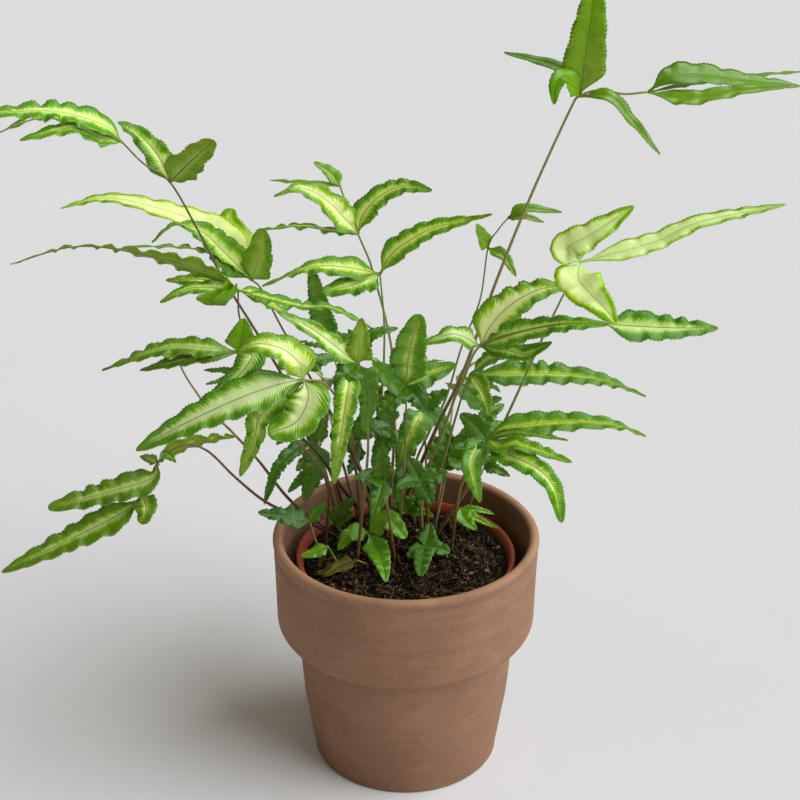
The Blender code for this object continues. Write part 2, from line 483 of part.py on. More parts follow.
def nursery_pot(group, cutters):
    """The thin plastic pot that holds the soil and stands on the clay pot's floor."""
    foot = POT_FLOOR + FIT
    floor = foot + NURSERY_WALL
    edge_z = NURSERY_RIM_Z - NURSERY_EDGE
    rim_low = NURSERY_RIM_Z - NURSERY_RIM_DEEP
    profile = [(0.0, floor), (NURSERY_FOOT_R - NURSERY_WALL, floor)]
    profile += [(NURSERY_TOP_R - NURSERY_WALL, NURSERY_SHOULDER_Z), (NURSERY_TOP_R, edge_z)]
    profile += [(NURSERY_TOP_R + NURSERY_EDGE, NURSERY_RIM_Z), (NURSERY_RIM_R - NURSERY_EDGE, NURSERY_RIM_Z)]
    profile += [(NURSERY_RIM_R, edge_z), (NURSERY_RIM_R, rim_low), (NURSERY_RIM_R - NURSERY_WALL, rim_low)]
    profile += [(NURSERY_TOP_R, rim_low - NURSERY_EDGE)]
    profile += [(NURSERY_FOOT_R + NURSERY_WALL, foot + NURSERY_WALL), (NURSERY_FOOT_R, foot), (0.0, foot)]
    obj = turned("nursery_pot", profile, NURSERY_SIDES, group)
    obj.data.materials.append(finish(*NURSERY_PLASTIC))
    drains = []
    for i in range(DRAIN_HOLES):
        angle = math.tau * (i + 0.5) / DRAIN_HOLES
        place = (DRAIN_RING_R * math.cos(angle), DRAIN_RING_R * math.sin(angle))
        low = foot - CUT_OVER
        high = floor + CUT_OVER
        drains.append(upright_cutter(f"drain_{i + 1}", place, DRAIN_R, low, high, cutters))
    cut(obj, drains)
    return obj


def upright_cutter(name, place, radius, low, high, cutters):
    """A cylinder that cuts a hole and isn't part of the object."""
    mesh = bpy.data.meshes.new(name)
    bm = bmesh.new()
    bmesh.ops.create_cone(
        bm, cap_ends=True, segments=HOLE_SIDES, radius1=radius * MM, radius2=radius * MM,
        depth=(high - low) * MM)
    bm.to_mesh(mesh)
    bm.free()
    obj = add_object(name, mesh, cutters)
    obj.location = Vector((place[0], place[1], (low + high) / 2)) * MM
    obj.hide_render = True
    obj.display_type = "WIRE"
    return obj


def cut(obj, tools):
    """Cut the tools out of the object, one after another, and keep the result as its mesh."""
    for tool in tools:
        step = obj.modifiers.new(tool.name, "BOOLEAN")
        step.operation = "DIFFERENCE"
        step.solver = "EXACT"
        step.object = tool
    mesh = as_mesh(obj)
    obj.modifiers.clear()
    obj.data = mesh


def soil(group, cutters):
    """The peat that fills the nursery pot, with a plain hole for each stalk."""
    floor = POT_FLOOR + FIT + NURSERY_WALL
    slope = (NURSERY_TOP_R - NURSERY_FOOT_R) / (NURSERY_SHOULDER_Z - floor)
    foot_r = NURSERY_FOOT_R - NURSERY_WALL - 2 * FIT
    edge_z = SOIL_Z - SOIL_EDGE
    top_r = foot_r + slope * (edge_z - floor)
    profile = [(top_r * ring, SOIL_Z + SOIL_CROWN * (1 - ring * ring)) for ring in SOIL_RINGS]
    profile += [(top_r, edge_z), (foot_r, floor + FIT), (0.0, floor + FIT)]
    obj = turned("soil", profile, SOIL_SIDES, group)
    obj.data.materials.append(finish(*PEAT))
    bottom = SOIL_Z - ROOT_DEPTH - FIT
    top = SOIL_Z + SOIL_CROWN + CUT_OVER
    holes = []
    for frond in FRONDS:
        radius = frond.radius + HOLE_GAP
        holes.append(upright_cutter(frond.name + "_hole", frond.foot, radius, bottom, top, cutters))
    cut(obj, holes)
    return obj


def seen(point):
    """The place in space, in mm, of a point of the drawing sheet."""
    right, up, depth = point
    on_sheet = SHEET_MIDDLE + Vector((right, 0.0, 0.0)) + up * SHEET_UP
    reach = (depth - EYE.y) / (on_sheet.y - EYE.y)
    return EYE + (on_sheet - EYE) * reach


def through(points, steps):
    """A smooth curve through the points, with the given number of steps from each to the next."""
    ends = [2 * points[0] - points[1]] + points + [2 * points[-1] - points[-2]]
    line = []
    for i, count in enumerate(steps):
        a, b, c, d = ends[i:i + 4]
        for k in range(count):
            t = k / count
            line.append(0.5 * ((2 * b) + (c - a) * t + (2 * a - 5 * b + 4 * c - d) * t * t
                               + (3 * b - a - 3 * c + d) * t ** 3))
    return line + [points[-1]]


def smooth_line(points, count):
    """Points evenly spaced on a smooth curve through the given ones."""
    fine = through(points, [CURVE_STEPS] * (len(points) - 1))
    lengths = [0.0]
    for first, second in zip(fine, fine[1:]):
        lengths.append(lengths[-1] + (second - first).length)
    line = []
    k = 0
    for i in range(count + 1):
        goal = lengths[-1] * i / count
        while k < len(fine) - 2 and lengths[k + 1] < goal:
            k += 1
        part = (goal - lengths[k]) / (lengths[k + 1] - lengths[k])
        line.append(fine[k].lerp(fine[k + 1], part))
    return line


def line_length(points):
    """Length of the straight runs between the points."""
    return sum((second - first).length for first, second in zip(points, points[1:]))


def stalk_line(frond, nodes):
    """The stalk's middle line, upright in its hole, through its nodes and a little past the last."""
    x, y = frond.foot
    foot = Vector((x, y, SOIL_Z - ROOT_DEPTH))
    above = [Vector((x, y, SOIL_Z + SOIL_CROWN + COLLAR))] + nodes
    steps = [max(1, round((b - a).length / STALK_STEP)) for a, b in zip(above, above[1:])]
    line = through(above, steps)
    over = (line[-1] - line[-2]).normalized() * STALK_OVER
    return [foot] + line[:-1] + [line[-1] + over]


def stalk_solid(frond, nodes, group):
    """A thin round tube along the stalk's line."""
    curve = bpy.data.curves.new(frond.name, "CURVE")
    curve.dimensions = "3D"
    curve.bevel_depth = frond.radius * MM
    curve.bevel_resolution = 0
    curve.use_fill_caps = True
    line = stalk_line(frond, nodes)
    spline = curve.splines.new("POLY")
    spline.points.add(len(line) - 1)
    for place, point in zip(spline.points, line):
        place.co = (*(point * MM), 1.0)
    tube = bpy.data.objects.new(frond.name, curve)
    group.objects.link(tube)
    mesh = as_mesh(tube)
    bpy.data.objects.remove(tube, do_unlink=True)
    bpy.data.curves.remove(curve)
    return add_object(frond.name, mesh, group)


def blade_width(t, leaflet):
    """Width of the blade at t, from 0 at its root to 1 at its tip."""
    swell = min(1.0, t / SWELL)
    swell = swell * swell * (3 - 2 * swell)
    reach, power = leaflet.end
    taper = max(0.0, 1.0 - t / reach) ** power
    least = BLADE_ROOT_W if t < 0.5 else BLADE_TIP_W
    return max(leaflet.width * FULLNESS * swell * taper, least)


def blade_face(t, leaflet):
    """The way the blade's upper face looks at t."""
    start = Vector(leaflet.face)
    end = Vector(leaflet.tip_face or leaflet.face)
    return start.lerp(end, t)


def blade_solid(name, leaflet, root, group):
    """One leaflet: a grid bent along its middle line, with a channelled middle and crisped,
    notched edges, then given its thickness."""
    points = [root] + [seen(p) for p in leaflet.path]
    length = line_length(points)
    fewest, most = BLADE_RUNS
    count = min(most, max(fewest, round(length / BLADE_STEP)))
    line = smooth_line(points, count)
    bm = bmesh.new()
    strips = 1 if length < SMALL_BLADE else 2
    bmesh.ops.create_grid(bm, x_segments=count, y_segments=strips, size=1.0)
    for vert in bm.verts:
        t = (vert.co.x + 1) / 2
        side = vert.co.y
        i = round(t * count)
        along = (line[min(i + 1, count)] - line[max(i - 1, 0)]).normalized()
        face = blade_face(t, leaflet)
        normal = (face - face.dot(along) * along).normalized()
        across = normal.cross(along)
        fade = math.sin(math.pi * t)
        beat = (1 if i % 2 else -1) * fade
        half = blade_width(t, leaflet) / 2 * (1 + NOTCH * beat)
        lift = CHANNEL * half * abs(side) + WAVE * leaflet.width * beat * side
        vert.co = (line[i] + across * (side * half) + normal * lift) * MM
    bmesh.ops.triangulate(bm, faces=bm.faces)
    mesh = bpy.data.meshes.new(name)
    bm.to_mesh(mesh)
    bm.free()
    obj = add_object(name, mesh, group)
    shell = obj.modifiers.new("Thickness", "SOLIDIFY")
    shell.thickness = BLADE * MM
    shell.offset = 0.0
    return obj


def frond_solid(frond, material, group):
    """A frond grown as one piece: its leaflets joined to its stalk."""
    nodes = [seen(p) for p in frond.stalk]
    obj = stalk_solid(frond, nodes, group)
    leaflets = new_collection(frond.name + "_leaflets")
    for i, leaflet in enumerate(frond.leaflets):
        blade_solid(f"{frond.name}_leaflet_{i + 1}", leaflet, nodes[leaflet.at], leaflets)
    join = obj.modifiers.new("Join", "BOOLEAN")
    join.operation = "UNION"
    join.operand_type = "COLLECTION"
    join.collection = leaflets
    join.solver = "EXACT"
    mesh = as_mesh(obj, SLIVER)
    obj.modifiers.clear()
    obj.data = mesh
    for blade in list(leaflets.objects):
        bpy.data.objects.remove(blade, do_unlink=True)
    bpy.data.collections.remove(leaflets)
    mesh.materials.clear()
    mesh.materials.append(material)
    return obj


def main():
    clear_scene()
    group = new_collection(COLLECTION)
    cutters = new_collection("cutters")
    turned_pieces = [clay_pot(group), nursery_pot(group, cutters), soil(group, cutters)]
    for obj in turned_pieces:
        obj.data.shade_smooth()
        obj.data.set_sharp_from_angle(angle=SHARP)
    leaf = finish(*GREEN)
    withered = finish(*WITHERED)
    for frond in FRONDS:
        frond_solid(frond, withered if frond.name == "frond_withered" else leaf, group)


main()
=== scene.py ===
"""Looks of the potted brake fern: its fronds, the soil, the two pots and a plain studio.

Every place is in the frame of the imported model: metres, +Z up, -Y towards the viewer. The sizes in
this file are written in millimetres and turned into metres by MM.
"""
import logging
import math
import random
from collections.abc import Callable, Iterable, Sequence
from dataclasses import dataclass, field
from enum import Enum, IntEnum

import bmesh
import bpy
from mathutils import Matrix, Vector, noise


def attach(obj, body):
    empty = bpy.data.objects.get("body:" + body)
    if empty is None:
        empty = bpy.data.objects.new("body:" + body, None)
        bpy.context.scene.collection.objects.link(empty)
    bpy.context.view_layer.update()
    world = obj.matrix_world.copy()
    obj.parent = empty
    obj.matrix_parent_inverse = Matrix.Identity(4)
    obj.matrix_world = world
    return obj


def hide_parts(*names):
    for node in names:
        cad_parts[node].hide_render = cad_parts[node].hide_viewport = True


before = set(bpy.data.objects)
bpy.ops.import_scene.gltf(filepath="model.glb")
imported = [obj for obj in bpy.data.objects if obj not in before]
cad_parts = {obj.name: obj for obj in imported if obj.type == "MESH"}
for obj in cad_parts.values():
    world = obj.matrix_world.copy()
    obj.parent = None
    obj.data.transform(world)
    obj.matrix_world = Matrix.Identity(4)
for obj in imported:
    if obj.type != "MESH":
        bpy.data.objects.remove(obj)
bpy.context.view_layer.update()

LOG = logging.getLogger("potted_brake_fern")
MM = 0.001

Spot = tuple[float, float]
Point = tuple[float, float, float]
Colour = tuple[float, float, float]
Feeds = dict[str, object]
Shape = bmesh.types.BMesh
Item = bpy.types.Object
Material = bpy.types.Material
Tree = bpy.types.NodeTree
Node = bpy.types.Node
Socket = bpy.types.NodeSocket


class Face(Enum):
    """Ways that a blade's upper face looks."""

    TOP = (0.0, -0.6, 1.0)
    TURNED = (0.0, -0.9, 1.0)
    FRONT = (0.0, -1.0, 0.6)
    LEVEL = (0.0, 0.0, 1.0)
    BACK = (0.0, 0.5, 1.0)
    UNDER = (0.0, 1.0, 0.3)


class End(Enum):
    """Ends of a blade: the part of its length where its width runs out, and the power it narrows by."""

    POINTED = (1.0, 0.56)
    BLUNT = (1.0, 0.4)
    SLENDER = (1.0, 0.8)
    TAILED = (0.88, 0.5)
    LONG_TAILED = (0.74, 0.5)


class Tone(Enum):
    """Kinds of leaflet, by how much of the blade is pale. The value is its material slot."""

    PALE = 0
    BROAD = 1
    BANDED = 2
    NARROW = 3
    DULL = 4
    SOFT = 5
    PLAIN = 6
    FRESH = 7
    WITHERED = 8


# The table of fronds names the kinds by these short names.
TOP, TURNED, FRONT, LEVEL, BACK, UNDER = Face
POINTED, BLUNT, SLENDER, TAILED, LONG_TAILED = End
PALE, BROAD, BANDED, NARROW, DULL, SOFT, PLAIN, FRESH, WITHERED = Tone


class Earth(IntEnum):
    """What the soil is made of. The value is its material slot."""

    PEAT = 0
    CRUMB = 1
    BARK = 2
    GRIT = 3
    FIBRE = 4
    ROOT = 5


@dataclass(frozen=True)
class Edge:
    """The edge of a kind of leaflet.

    crisp is how strongly it is crisped, and pitch is the length of one wave in mm. tooth is the depth
    of its teeth in mm, and tooth_rows is how many rows of the blade's mesh a tooth takes.
    """

    crisp: float
    pitch: float
    tooth: float = 0.55
    tooth_rows: int = 3


EDGES = {
    PALE: Edge(0.58, 11.0, 0.45), BROAD: Edge(0.85, 10.0, 0.5), BANDED: Edge(0.85, 9.5, 0.5),
    NARROW: Edge(0.85, 8.5, 0.55), DULL: Edge(1.0, 9.0, 0.6), SOFT: Edge(0.5, 12.0, 0.45),
    PLAIN: Edge(0.75, 5.6, 0.7, 4), FRESH: Edge(0.5, 7.0, 0.6, 4), WITHERED: Edge(1.3, 8.0, 0.8),
}

STALK_SLOT = len(Tone)
RIB_SLOT = STALK_SLOT + 1
PALE_RIB_SLOT = STALK_SLOT + 2
GREEN_RIB_SLOT = STALK_SLOT + 3
RIB_SLOTS = {PALE: PALE_RIB_SLOT, SOFT: GREEN_RIB_SLOT, PLAIN: GREEN_RIB_SLOT, FRESH: GREEN_RIB_SLOT}


@dataclass(frozen=True)
class Leaflet:
    """One blade of a frond.

    at is the number of the stalk's point that it grows from, and path is its middle line after it.
    """

    at: int
    path: list[Point]
    width: float
    face: Face = TOP
    tip_face: Face | None = None
    end: End = POINTED
    tone: Tone | None = None


@dataclass(frozen=True)
class Frond:
    """A stalk and its leaflets.

    foot is where the stalk leaves the soil, stalk holds its points above the soil, and brown says how
    wiry and dark it has turned, from 0 to 1.
    """

    name: str
    foot: Spot
    stalk: list[Point]
    leaflets: list[Leaflet]
    radius: float = 0.95
    tone: Tone = BANDED
    brown: float = 0.5


THIN_STALK_R = 0.75
THICK_STALK_R = 1.1

FRONDS: list[Frond] = [
    Frond("frond_far_left", (-22, 37), [(-35, -35, 32), (-52, 0, 28), (-70, 31, 24), (-88, 60, 20),
        (-100, 83, 16), (-115, 109, 12), (-128, 118, 10), (-139, 129, 8)], [
        Leaflet(1, [(-46, -5, 30), (-39, -9, 32)], 10, tone=PLAIN),
        Leaflet(5, [(-105, 119, 5), (-93, 130, 0)], 17, UNDER, end=BLUNT, tone=DULL),
        Leaflet(5, [(-121, 122, 16), (-131, 133, 22), (-141, 139, 20)], 14, TURNED),
        Leaflet(7, [(-147, 137, 4), (-170, 144, -4), (-195, 144, -10), (-214, 141, -14)], 14),
        Leaflet(7, [(-150, 131, 2), (-165, 136, -6), (-190, 130, -14)], 11),
        Leaflet(7, [(-155, 137, 14), (-180, 141, 14), (-207, 131, 8)], 9, LEVEL)], brown=0.8),
    Frond("frond_left_back", (-14, 41), [(-30, -15, 38), (-47, 15, 38), (-59, 36, 37), (-69, 55, 35),
        (-74, 60, 34)], [
        Leaflet(1, [(-40, 20, 42), (-32, 21, 46)], 11, tone=PLAIN),
        Leaflet(1, [(-54, 18, 42), (-62, 17, 46)], 11, tone=PLAIN),
        Leaflet(4, [(-86, 72, 30), (-99, 84, 24), (-113, 88, 20), (-124, 79, 16)], 19, TURNED,
            end=LONG_TAILED, tone=BANDED),
        Leaflet(4, [(-87, 82, 44), (-112, 93, 46), (-145, 101, 42), (-170, 96, 36)], 17, end=SLENDER,
            tone=PALE),
        Leaflet(4, [(-79, 76, 45), (-85, 89, 50), (-84, 96, 52)], 19, FRONT, end=BLUNT, tone=PALE),
        Leaflet(4, [(-70, 74, 28), (-69, 86, 26)], 16, FRONT, end=BLUNT),
        Leaflet(4, [(-100, 75, 22), (-136, 77, 12)], 6, LEVEL, tone=DULL)], brown=0.8),
    Frond("frond_left_long", (-30, 22), [(-35, -35, 14), (-57, -10, -4), (-72, 15, -18), (-80, 40, -25),
        (-81, 55, -26)], [
        Leaflet(4, [(-92, 62, -28), (-120, 71, -30), (-160, 77, -30), (-195, 68, -30)], 13, UNDER, LEVEL,
            end=SLENDER, tone=DULL),
        Leaflet(4, [(-97, 60, -24), (-117, 60, -22)], 9, TURNED),
        Leaflet(4, [(-104, 56, -30), (-120, 49, -34)], 8, TURNED),
        Leaflet(4, [(-92, 51, -34), (-102, 51, -38)], 14, UNDER, tone=SOFT),
        Leaflet(4, [(-86, 51, -34), (-94, 50, -40)], 14, UNDER, tone=SOFT),
        Leaflet(4, [(-50, 47, -34), (-34, 46, -36), (-14, 36, -38)], 11, LEVEL, tone=NARROW),
        Leaflet(4, [(-69, 51, -20), (-54, 41, -14)], 9)], brown=0.8),
    Frond("frond_left_middle", (-42, 24), [(-55, -50, 22), (-71, -30, 14), (-84, -16, 6), (-95, -5, 0),
        (-106, 10, -8), (-112, 22, -10)], [
        Leaflet(5, [(-120, 26, -10), (-128, 25, -8)], 8),
        Leaflet(5, [(-118, 18, -14), (-125, 17, -16)], 7),
        Leaflet(5, [(-101, 25, -6), (-91, 28, -4)], 7),
        Leaflet(5, [(-97, 22, -14), (-82, 24, -16)], 7)], tone=DULL, brown=0.6),
    Frond("frond_left_inner", (-42, 4), [(-37, -40, -6), (-57, -15, -22), (-69, 0, -30), (-80, 14, -38),
        (-81, 24, -41)], [
        Leaflet(4, [(-79, 32, -40), (-78, 41, -38)], 15, FRONT, tone=SOFT),
        Leaflet(4, [(-97, 26, -42), (-118, 26, -40), (-149, 15, -36)], 11, end=TAILED),
        Leaflet(4, [(-97, 22, -44), (-130, 15, -40)], 8),
        Leaflet(4, [(-74, 22, -48), (-82, 11, -54), (-96, 1, -58)], 14, TURNED, tone=BANDED),
        Leaflet(4, [(-69, 27, -30), (-60, 31, -22)], 10),
        Leaflet(3, [(-89, 15, -36), (-98, 15, -36)], 4),
        Leaflet(3, [(-89, 10, -42), (-97, 8, -46)], 4)], tone=DULL, brown=0.65),
    Frond("frond_front_left", (-23, 13), [(-22, -35, 0), (-25, -15, -22), (-31, 0, -46), (-39, 9, -68),
        (-48, 10, -76)], [
        Leaflet(4, [(-60, 8, -80), (-80, 1, -86), (-106, -11, -88), (-132, -25, -84)], 20, TURNED),
        Leaflet(4, [(-51, 19, -78), (-60, 26, -80), (-72, 28, -80), (-81, 24, -78)], 17, TURNED),
        Leaflet(4, [(-46, 1, -82), (-52, -11, -86), (-66, -17, -88)], 20, FRONT, end=BLUNT),
        Leaflet(4, [(-69, -7, -74), (-73, -20, -74), (-80, -38, -70)], 13, FRONT, tone=BANDED)], tone=BROAD,
            brown=0.6),
    Frond("frond_low_left", (-37, 16), [(-50, -59, 8), (-67, -51, -4), (-82, -39, -14), (-97, -25, -24),
        (-110, -23, -31), (-121, -31, -36), (-125, -40, -37), (-129, -48, -38)], [
        Leaflet(5, [(-124, -39, -40), (-142, -45, -44), (-176, -54, -46)], 14, TURNED, end=BLUNT),
        Leaflet(7, [(-140, -57, -42), (-170, -72, -46), (-199, -86, -46)], 16, TURNED),
        Leaflet(7, [(-127, -54, -46), (-129, -62, -50)], 12, TURNED, end=BLUNT),
        Leaflet(5, [(-126, -29, -34), (-130, -28, -32)], 6),
        Leaflet(5, [(-117, -27, -41), (-112, -31, -44)], 7),
        Leaflet(5, [(-112, -24, -30), (-97, -20, -22), (-82, -18, -14)], 10, UNDER)], tone=DULL, brown=0.75),
    Frond("frond_top_middle", (-9, 35), [(-3, -20, 36), (-4, 5, 34), (-4, 24, 32), (-8, 44, 31),
        (-11, 55, 30), (-15, 69, 28), (-21, 83, 26), (-26, 96, 28), (-30, 107, 30)], [
        Leaflet(1, [(2, 10, 38), (8, 13, 42)], 11, tone=PLAIN),
        Leaflet(6, [(-27, 90, 22), (-37, 100, 18), (-50, 106, 14), (-63, 102, 10)], 15, TURNED, end=TAILED,
            tone=BROAD),
        Leaflet(6, [(-32, 84, 22), (-50, 87, 18), (-70, 85, 14)], 9, LEVEL),
        Leaflet(6, [(-19, 92, 28), (-10, 102, 29), (2, 107, 29), (16, 105, 25)], 13, TOP, FRONT),
        Leaflet(8, [(-40, 108, 28), (-65, 110, 24)], 7, LEVEL, tone=SOFT),
        Leaflet(8, [(-35, 114, 33), (-43, 119, 36)], 8, tone=SOFT)], brown=0.3),
    Frond("frond_upper_middle", (-13, 28), [(-7, -25, 26), (-9, 0, 24), (-8, 20, 22), (-8, 40, 20),
        (-10, 63, 18)], [
        Leaflet(1, [(-16, 3, 22), (-23, 4, 22)], 13, FRONT, tone=PLAIN),
        Leaflet(4, [(-25, 66, 12), (-40, 67, 8), (-52, 64, 6), (-69, 57, 2)], 13, TURNED, end=LONG_TAILED),
        Leaflet(4, [(-17, 60, 12), (-26, 57, 8), (-39, 54, 4)], 13, TURNED, end=BLUNT),
        Leaflet(4, [(-5, 72, 16), (2, 78, 14), (17, 86, 12), (46, 93, 8)], 13, TURNED, end=TAILED)],
            brown=0.3),
    Frond("frond_dark_back", (-15, 45), [(-25, -20, 58), (-30, 10, 60), (-34, 25, 60)], [
        Leaflet(2, [(-39, 41, 62), (-45, 69, 62)], 14, FRONT),
        Leaflet(2, [(-25, 32, 78), (-19, 37, 92)], 13, BACK),
        Leaflet(2, [(-42, 27, 74), (-51, 30, 88)], 12, BACK)], tone=PLAIN, brown=0.5),
    Frond("frond_tall_right", (-4, 40), [(9, -35, 28), (20, -10, 10), (32, 15, -8), (48, 59, -14),
        (65, 101, -18), (85, 145, -20), (90, 152, -21), (100, 155, -23), (112, 153, -25), (124, 154, -26)], [
        Leaflet(6, [(92, 167, -21), (93, 175, -21), (96, 195, -19), (97, 218, -15)], 20, FRONT),
        Leaflet(6, [(80, 166, -15), (52, 174, -5)], 7),
        Leaflet(6, [(83, 162, -27), (78, 158, -31), (77, 148, -33)], 11, TURNED),
        Leaflet(6, [(105, 152, -27), (117, 139, -31), (130, 123, -35)], 7),
        Leaflet(9, [(135, 162, -23), (150, 163, -21), (172, 160, -19), (200, 157, -15)], 13),
        Leaflet(9, [(145, 151, -31), (170, 155, -31), (195, 157, -31)], 9),
        Leaflet(9, [(145, 158, -15), (174, 162, -7), (212, 165, 3)], 6, LEVEL)], THICK_STALK_R, SOFT,
            brown=0.45),
    Frond("frond_small_top_right", (8, 47), [(7, -35, 50), (15, -15, 46), (23, 1, 42), (31, 27, 34),
        (40, 50, 28), (44, 76, 22), (49, 85, 20), (54, 91, 18)], [
        Leaflet(5, [(41, 82, 18), (38, 88, 14)], 9, TURNED),
        Leaflet(5, [(52, 72, 16), (58, 62, 12)], 7),
        Leaflet(7, [(62, 96, 18), (81, 94, 18)], 6),
        Leaflet(7, [(62, 92, 14), (72, 89, 12)], 5)], THIN_STALK_R, SOFT, brown=0.0),
    Frond("frond_right_pale", (18, 22), [(35, -42, 4), (45, -25, -8), (54, -7, -26), (64, 15, -44),
        (76, 41, -50), (90, 69, -52)], [
        Leaflet(5, [(84, 76, -55), (96, 83, -55), (117, 97, -50)], 16, TURNED),
        Leaflet(5, [(110, 74, -50), (130, 80, -46), (150, 89, -42), (193, 98, -34)], 11),
        Leaflet(5, [(89, 61, -62), (95, 53, -72), (102, 46, -80), (108, 38, -86)], 21, FRONT)], tone=PALE,
            brown=0.25),
    Frond("frond_right_upper", (8, 20), [(12, -40, 14), (20, -20, 0), (27, 0, -18), (32, 11, -32),
        (40, 27, -44), (60, 34, -56), (82, 38, -62), (102, 38, -64)], [
        Leaflet(4, [(46, 38, -44), (56, 48, -43), (69, 55, -40), (83, 57, -38)], 20, TURNED, tone=BROAD),
        Leaflet(4, [(60, 34, -56), (82, 38, -62), (104, 38, -64)], 13, TURNED),
        Leaflet(7, [(116, 37, -64), (136, 36, -64), (159, 36, -62)], 16, TURNED),
        Leaflet(4, [(27, 33, -46), (12, 28, -46)], 11, tone=BROAD),
        Leaflet(4, [(53, 25, -50), (63, 23, -54), (76, 29, -58)], 10, TURNED)], brown=0.25),
    Frond("frond_right_middle", (11, 36), [(20, -35, 24), (26, -15, 10), (31, 2, -6), (35, 13, -15)], [
        Leaflet(3, [(55, 13, -18), (78, 13, -20), (102, 10, -22), (123, 2, -24)], 15, end=TAILED),
        Leaflet(3, [(45, 21, -22), (57, 24, -26), (76, 29, -32)], 9),
        Leaflet(3, [(41, 4, -26), (45, -8, -32)], 11, FRONT, tone=DULL),
        Leaflet(2, [(40, -1, 2), (51, 1, 4)], 11, TURNED, tone=PLAIN)], tone=NARROW, brown=0.35),
    Frond("frond_right_lower", (24, 6), [(30, -45, -12), (37, -30, -30), (43, -19, -42)], [
        Leaflet(2, [(54, -14, -44), (80, -11, -46), (106, -12, -48), (123, -18, -48)], 14, end=TAILED),
        Leaflet(2, [(60, -16, -52), (84, -20, -58)], 5),
        Leaflet(2, [(50, -23, -54), (60, -22, -60), (86, -31, -68)], 10),
        Leaflet(2, [(54, -27, -58), (68, -34, -70), (77, -44, -76), (81, -61, -80)], 12, TURNED, end=BLUNT,
            tone=BANDED),
        Leaflet(2, [(37, -27, -50), (36, -35, -56), (40, -51, -60)], 12, FRONT),
        Leaflet(2, [(35, -22, -46), (27, -24, -50)], 8, tone=PLAIN),
        Leaflet(2, [(37, -12, -34), (30, -7, -28)], 13, FRONT, tone=PLAIN),
        Leaflet(2, [(50, -28, -36), (61, -31, -32)], 8, tone=PLAIN)], tone=NARROW, brown=0.45),
    Frond("frond_right_small", (32, 35), [(39, -41, 24), (42, -34, 20)], [
        Leaflet(1, [(47, -34, 16), (55, -38, 12)], 7, TURNED),
        Leaflet(1, [(46, -30, 22), (50, -27, 24)], 8)], THIN_STALK_R, PLAIN, brown=0.3),
    Frond("frond_middle", (-4, 12), [(2, -35, 6), (3, -10, 4), (3, 7, 0)], [
        Leaflet(2, [(5, 25, 0), (10, 43, 0)], 19, FRONT, end=BLUNT, tone=NARROW),
        Leaflet(2, [(-5, 11, -4), (-14, 19, -8)], 15, TURNED),
        Leaflet(2, [(12, 12, 4), (28, 18, 8)], 15, TURNED, tone=NARROW),
        Leaflet(2, [(-3, 1, -8), (-11, -8, -12)], 13, TURNED),
        Leaflet(2, [(9, 1, -6), (13, -6, -8)], 12, TURNED)], tone=PLAIN, brown=0.35),
    Frond("frond_middle_left", (-25, -5), [(-16, -25, -12), (-18, -5, -28), (-21, 18, -46)], [
        Leaflet(2, [(-30, 25, -50), (-45, 36, -52), (-61, 44, -54)], 11, TURNED, tone=BROAD),
        Leaflet(2, [(-26, 25, -44), (-31, 34, -46)], 9),
        Leaflet(2, [(-20, 29, -50), (-19, 41, -52)], 13, FRONT, tone=BANDED),
        Leaflet(2, [(-18, 28, -47), (-11, 34, -46), (-1, 36, -44)], 9),
        Leaflet(2, [(-27, 13, -54), (-32, 3, -56)], 13, FRONT),
        Leaflet(2, [(-17, 9, -38), (-16, -2, -34), (-18, -16, -32)], 13, FRONT),
        Leaflet(2, [(-25, 10, -55), (-27, 0, -62), (-31, -27, -65), (-33, -42, -62)], 12, FRONT,
            tone=BANDED)], tone=PLAIN, brown=0.4),
    Frond("frond_inner_left", (-34, 34), [(-33, -42, 30), (-38, -30, 26), (-42, -21, 24)], [
        Leaflet(2, [(-50, -23, 20), (-61, -34, 10), (-68, -52, 4)], 9),
        Leaflet(2, [(-42, -32, 22), (-48, -50, 18)], 15, FRONT),
        Leaflet(2, [(-40, -12, 22), (-36, -4, 18)], 11, FRONT),
        Leaflet(1, [(-49, -39, 22), (-56, -46, 18)], 8, FRONT)], THIN_STALK_R, PLAIN),
    Frond("frond_rim_left", (-44, -6), [(-45, -61, -8)], [
        Leaflet(0, [(-57, -58, -9), (-71, -56, -8)], 12),
        Leaflet(0, [(-41, -55, -6), (-37, -51, -6)], 7)], THIN_STALK_R, PLAIN),
    Frond("frond_low_middle_left", (-14, 6), [(-16, -66, 6)], [
        Leaflet(0, [(-25, -67, 3), (-31, -75, -1)], 11),
        Leaflet(0, [(-13, -72, 2), (-9, -81, -16), (-7, -91, -29)], 14),
        Leaflet(0, [(-6, -60, 4), (3, -69, -2)], 13, end=BLUNT)], THIN_STALK_R, FRESH),
    Frond("frond_low_middle", (5, 33), [(4, -56, 32)], [
        Leaflet(0, [(11, -56, 30), (17, -58, 27)], 7),
        Leaflet(0, [(0, -53, 32), (-5, -52, 31)], 7),
        Leaflet(0, [(7, -51, 33), (10, -46, 35)], 9, FRONT),
        Leaflet(0, [(1, -50, 30), (-2, -44, 29)], 10, FRONT)], THIN_STALK_R, PLAIN, brown=0.2),
    Frond("frond_low_front", (10, 4), [(12, -73, 0)], [
        Leaflet(0, [(14, -68, 4), (15, -62, 8)], 10, end=BLUNT),
        Leaflet(0, [(19, -74, -2), (25, -76, -4)], 10, end=BLUNT),
        Leaflet(0, [(11, -80, -12), (10, -88, -26)], 10, end=BLUNT),
        Leaflet(0, [(7, -76, -3), (4, -79, -6)], 8, end=BLUNT)], THIN_STALK_R, PLAIN, brown=0.1),
    Frond("frond_low_right", (24, 30), [(30, -54, 28)], [
        Leaflet(0, [(32, -59, 22), (38, -65, 14)], 10),
        Leaflet(0, [(40, -55, 26), (47, -57, 24)], 5),
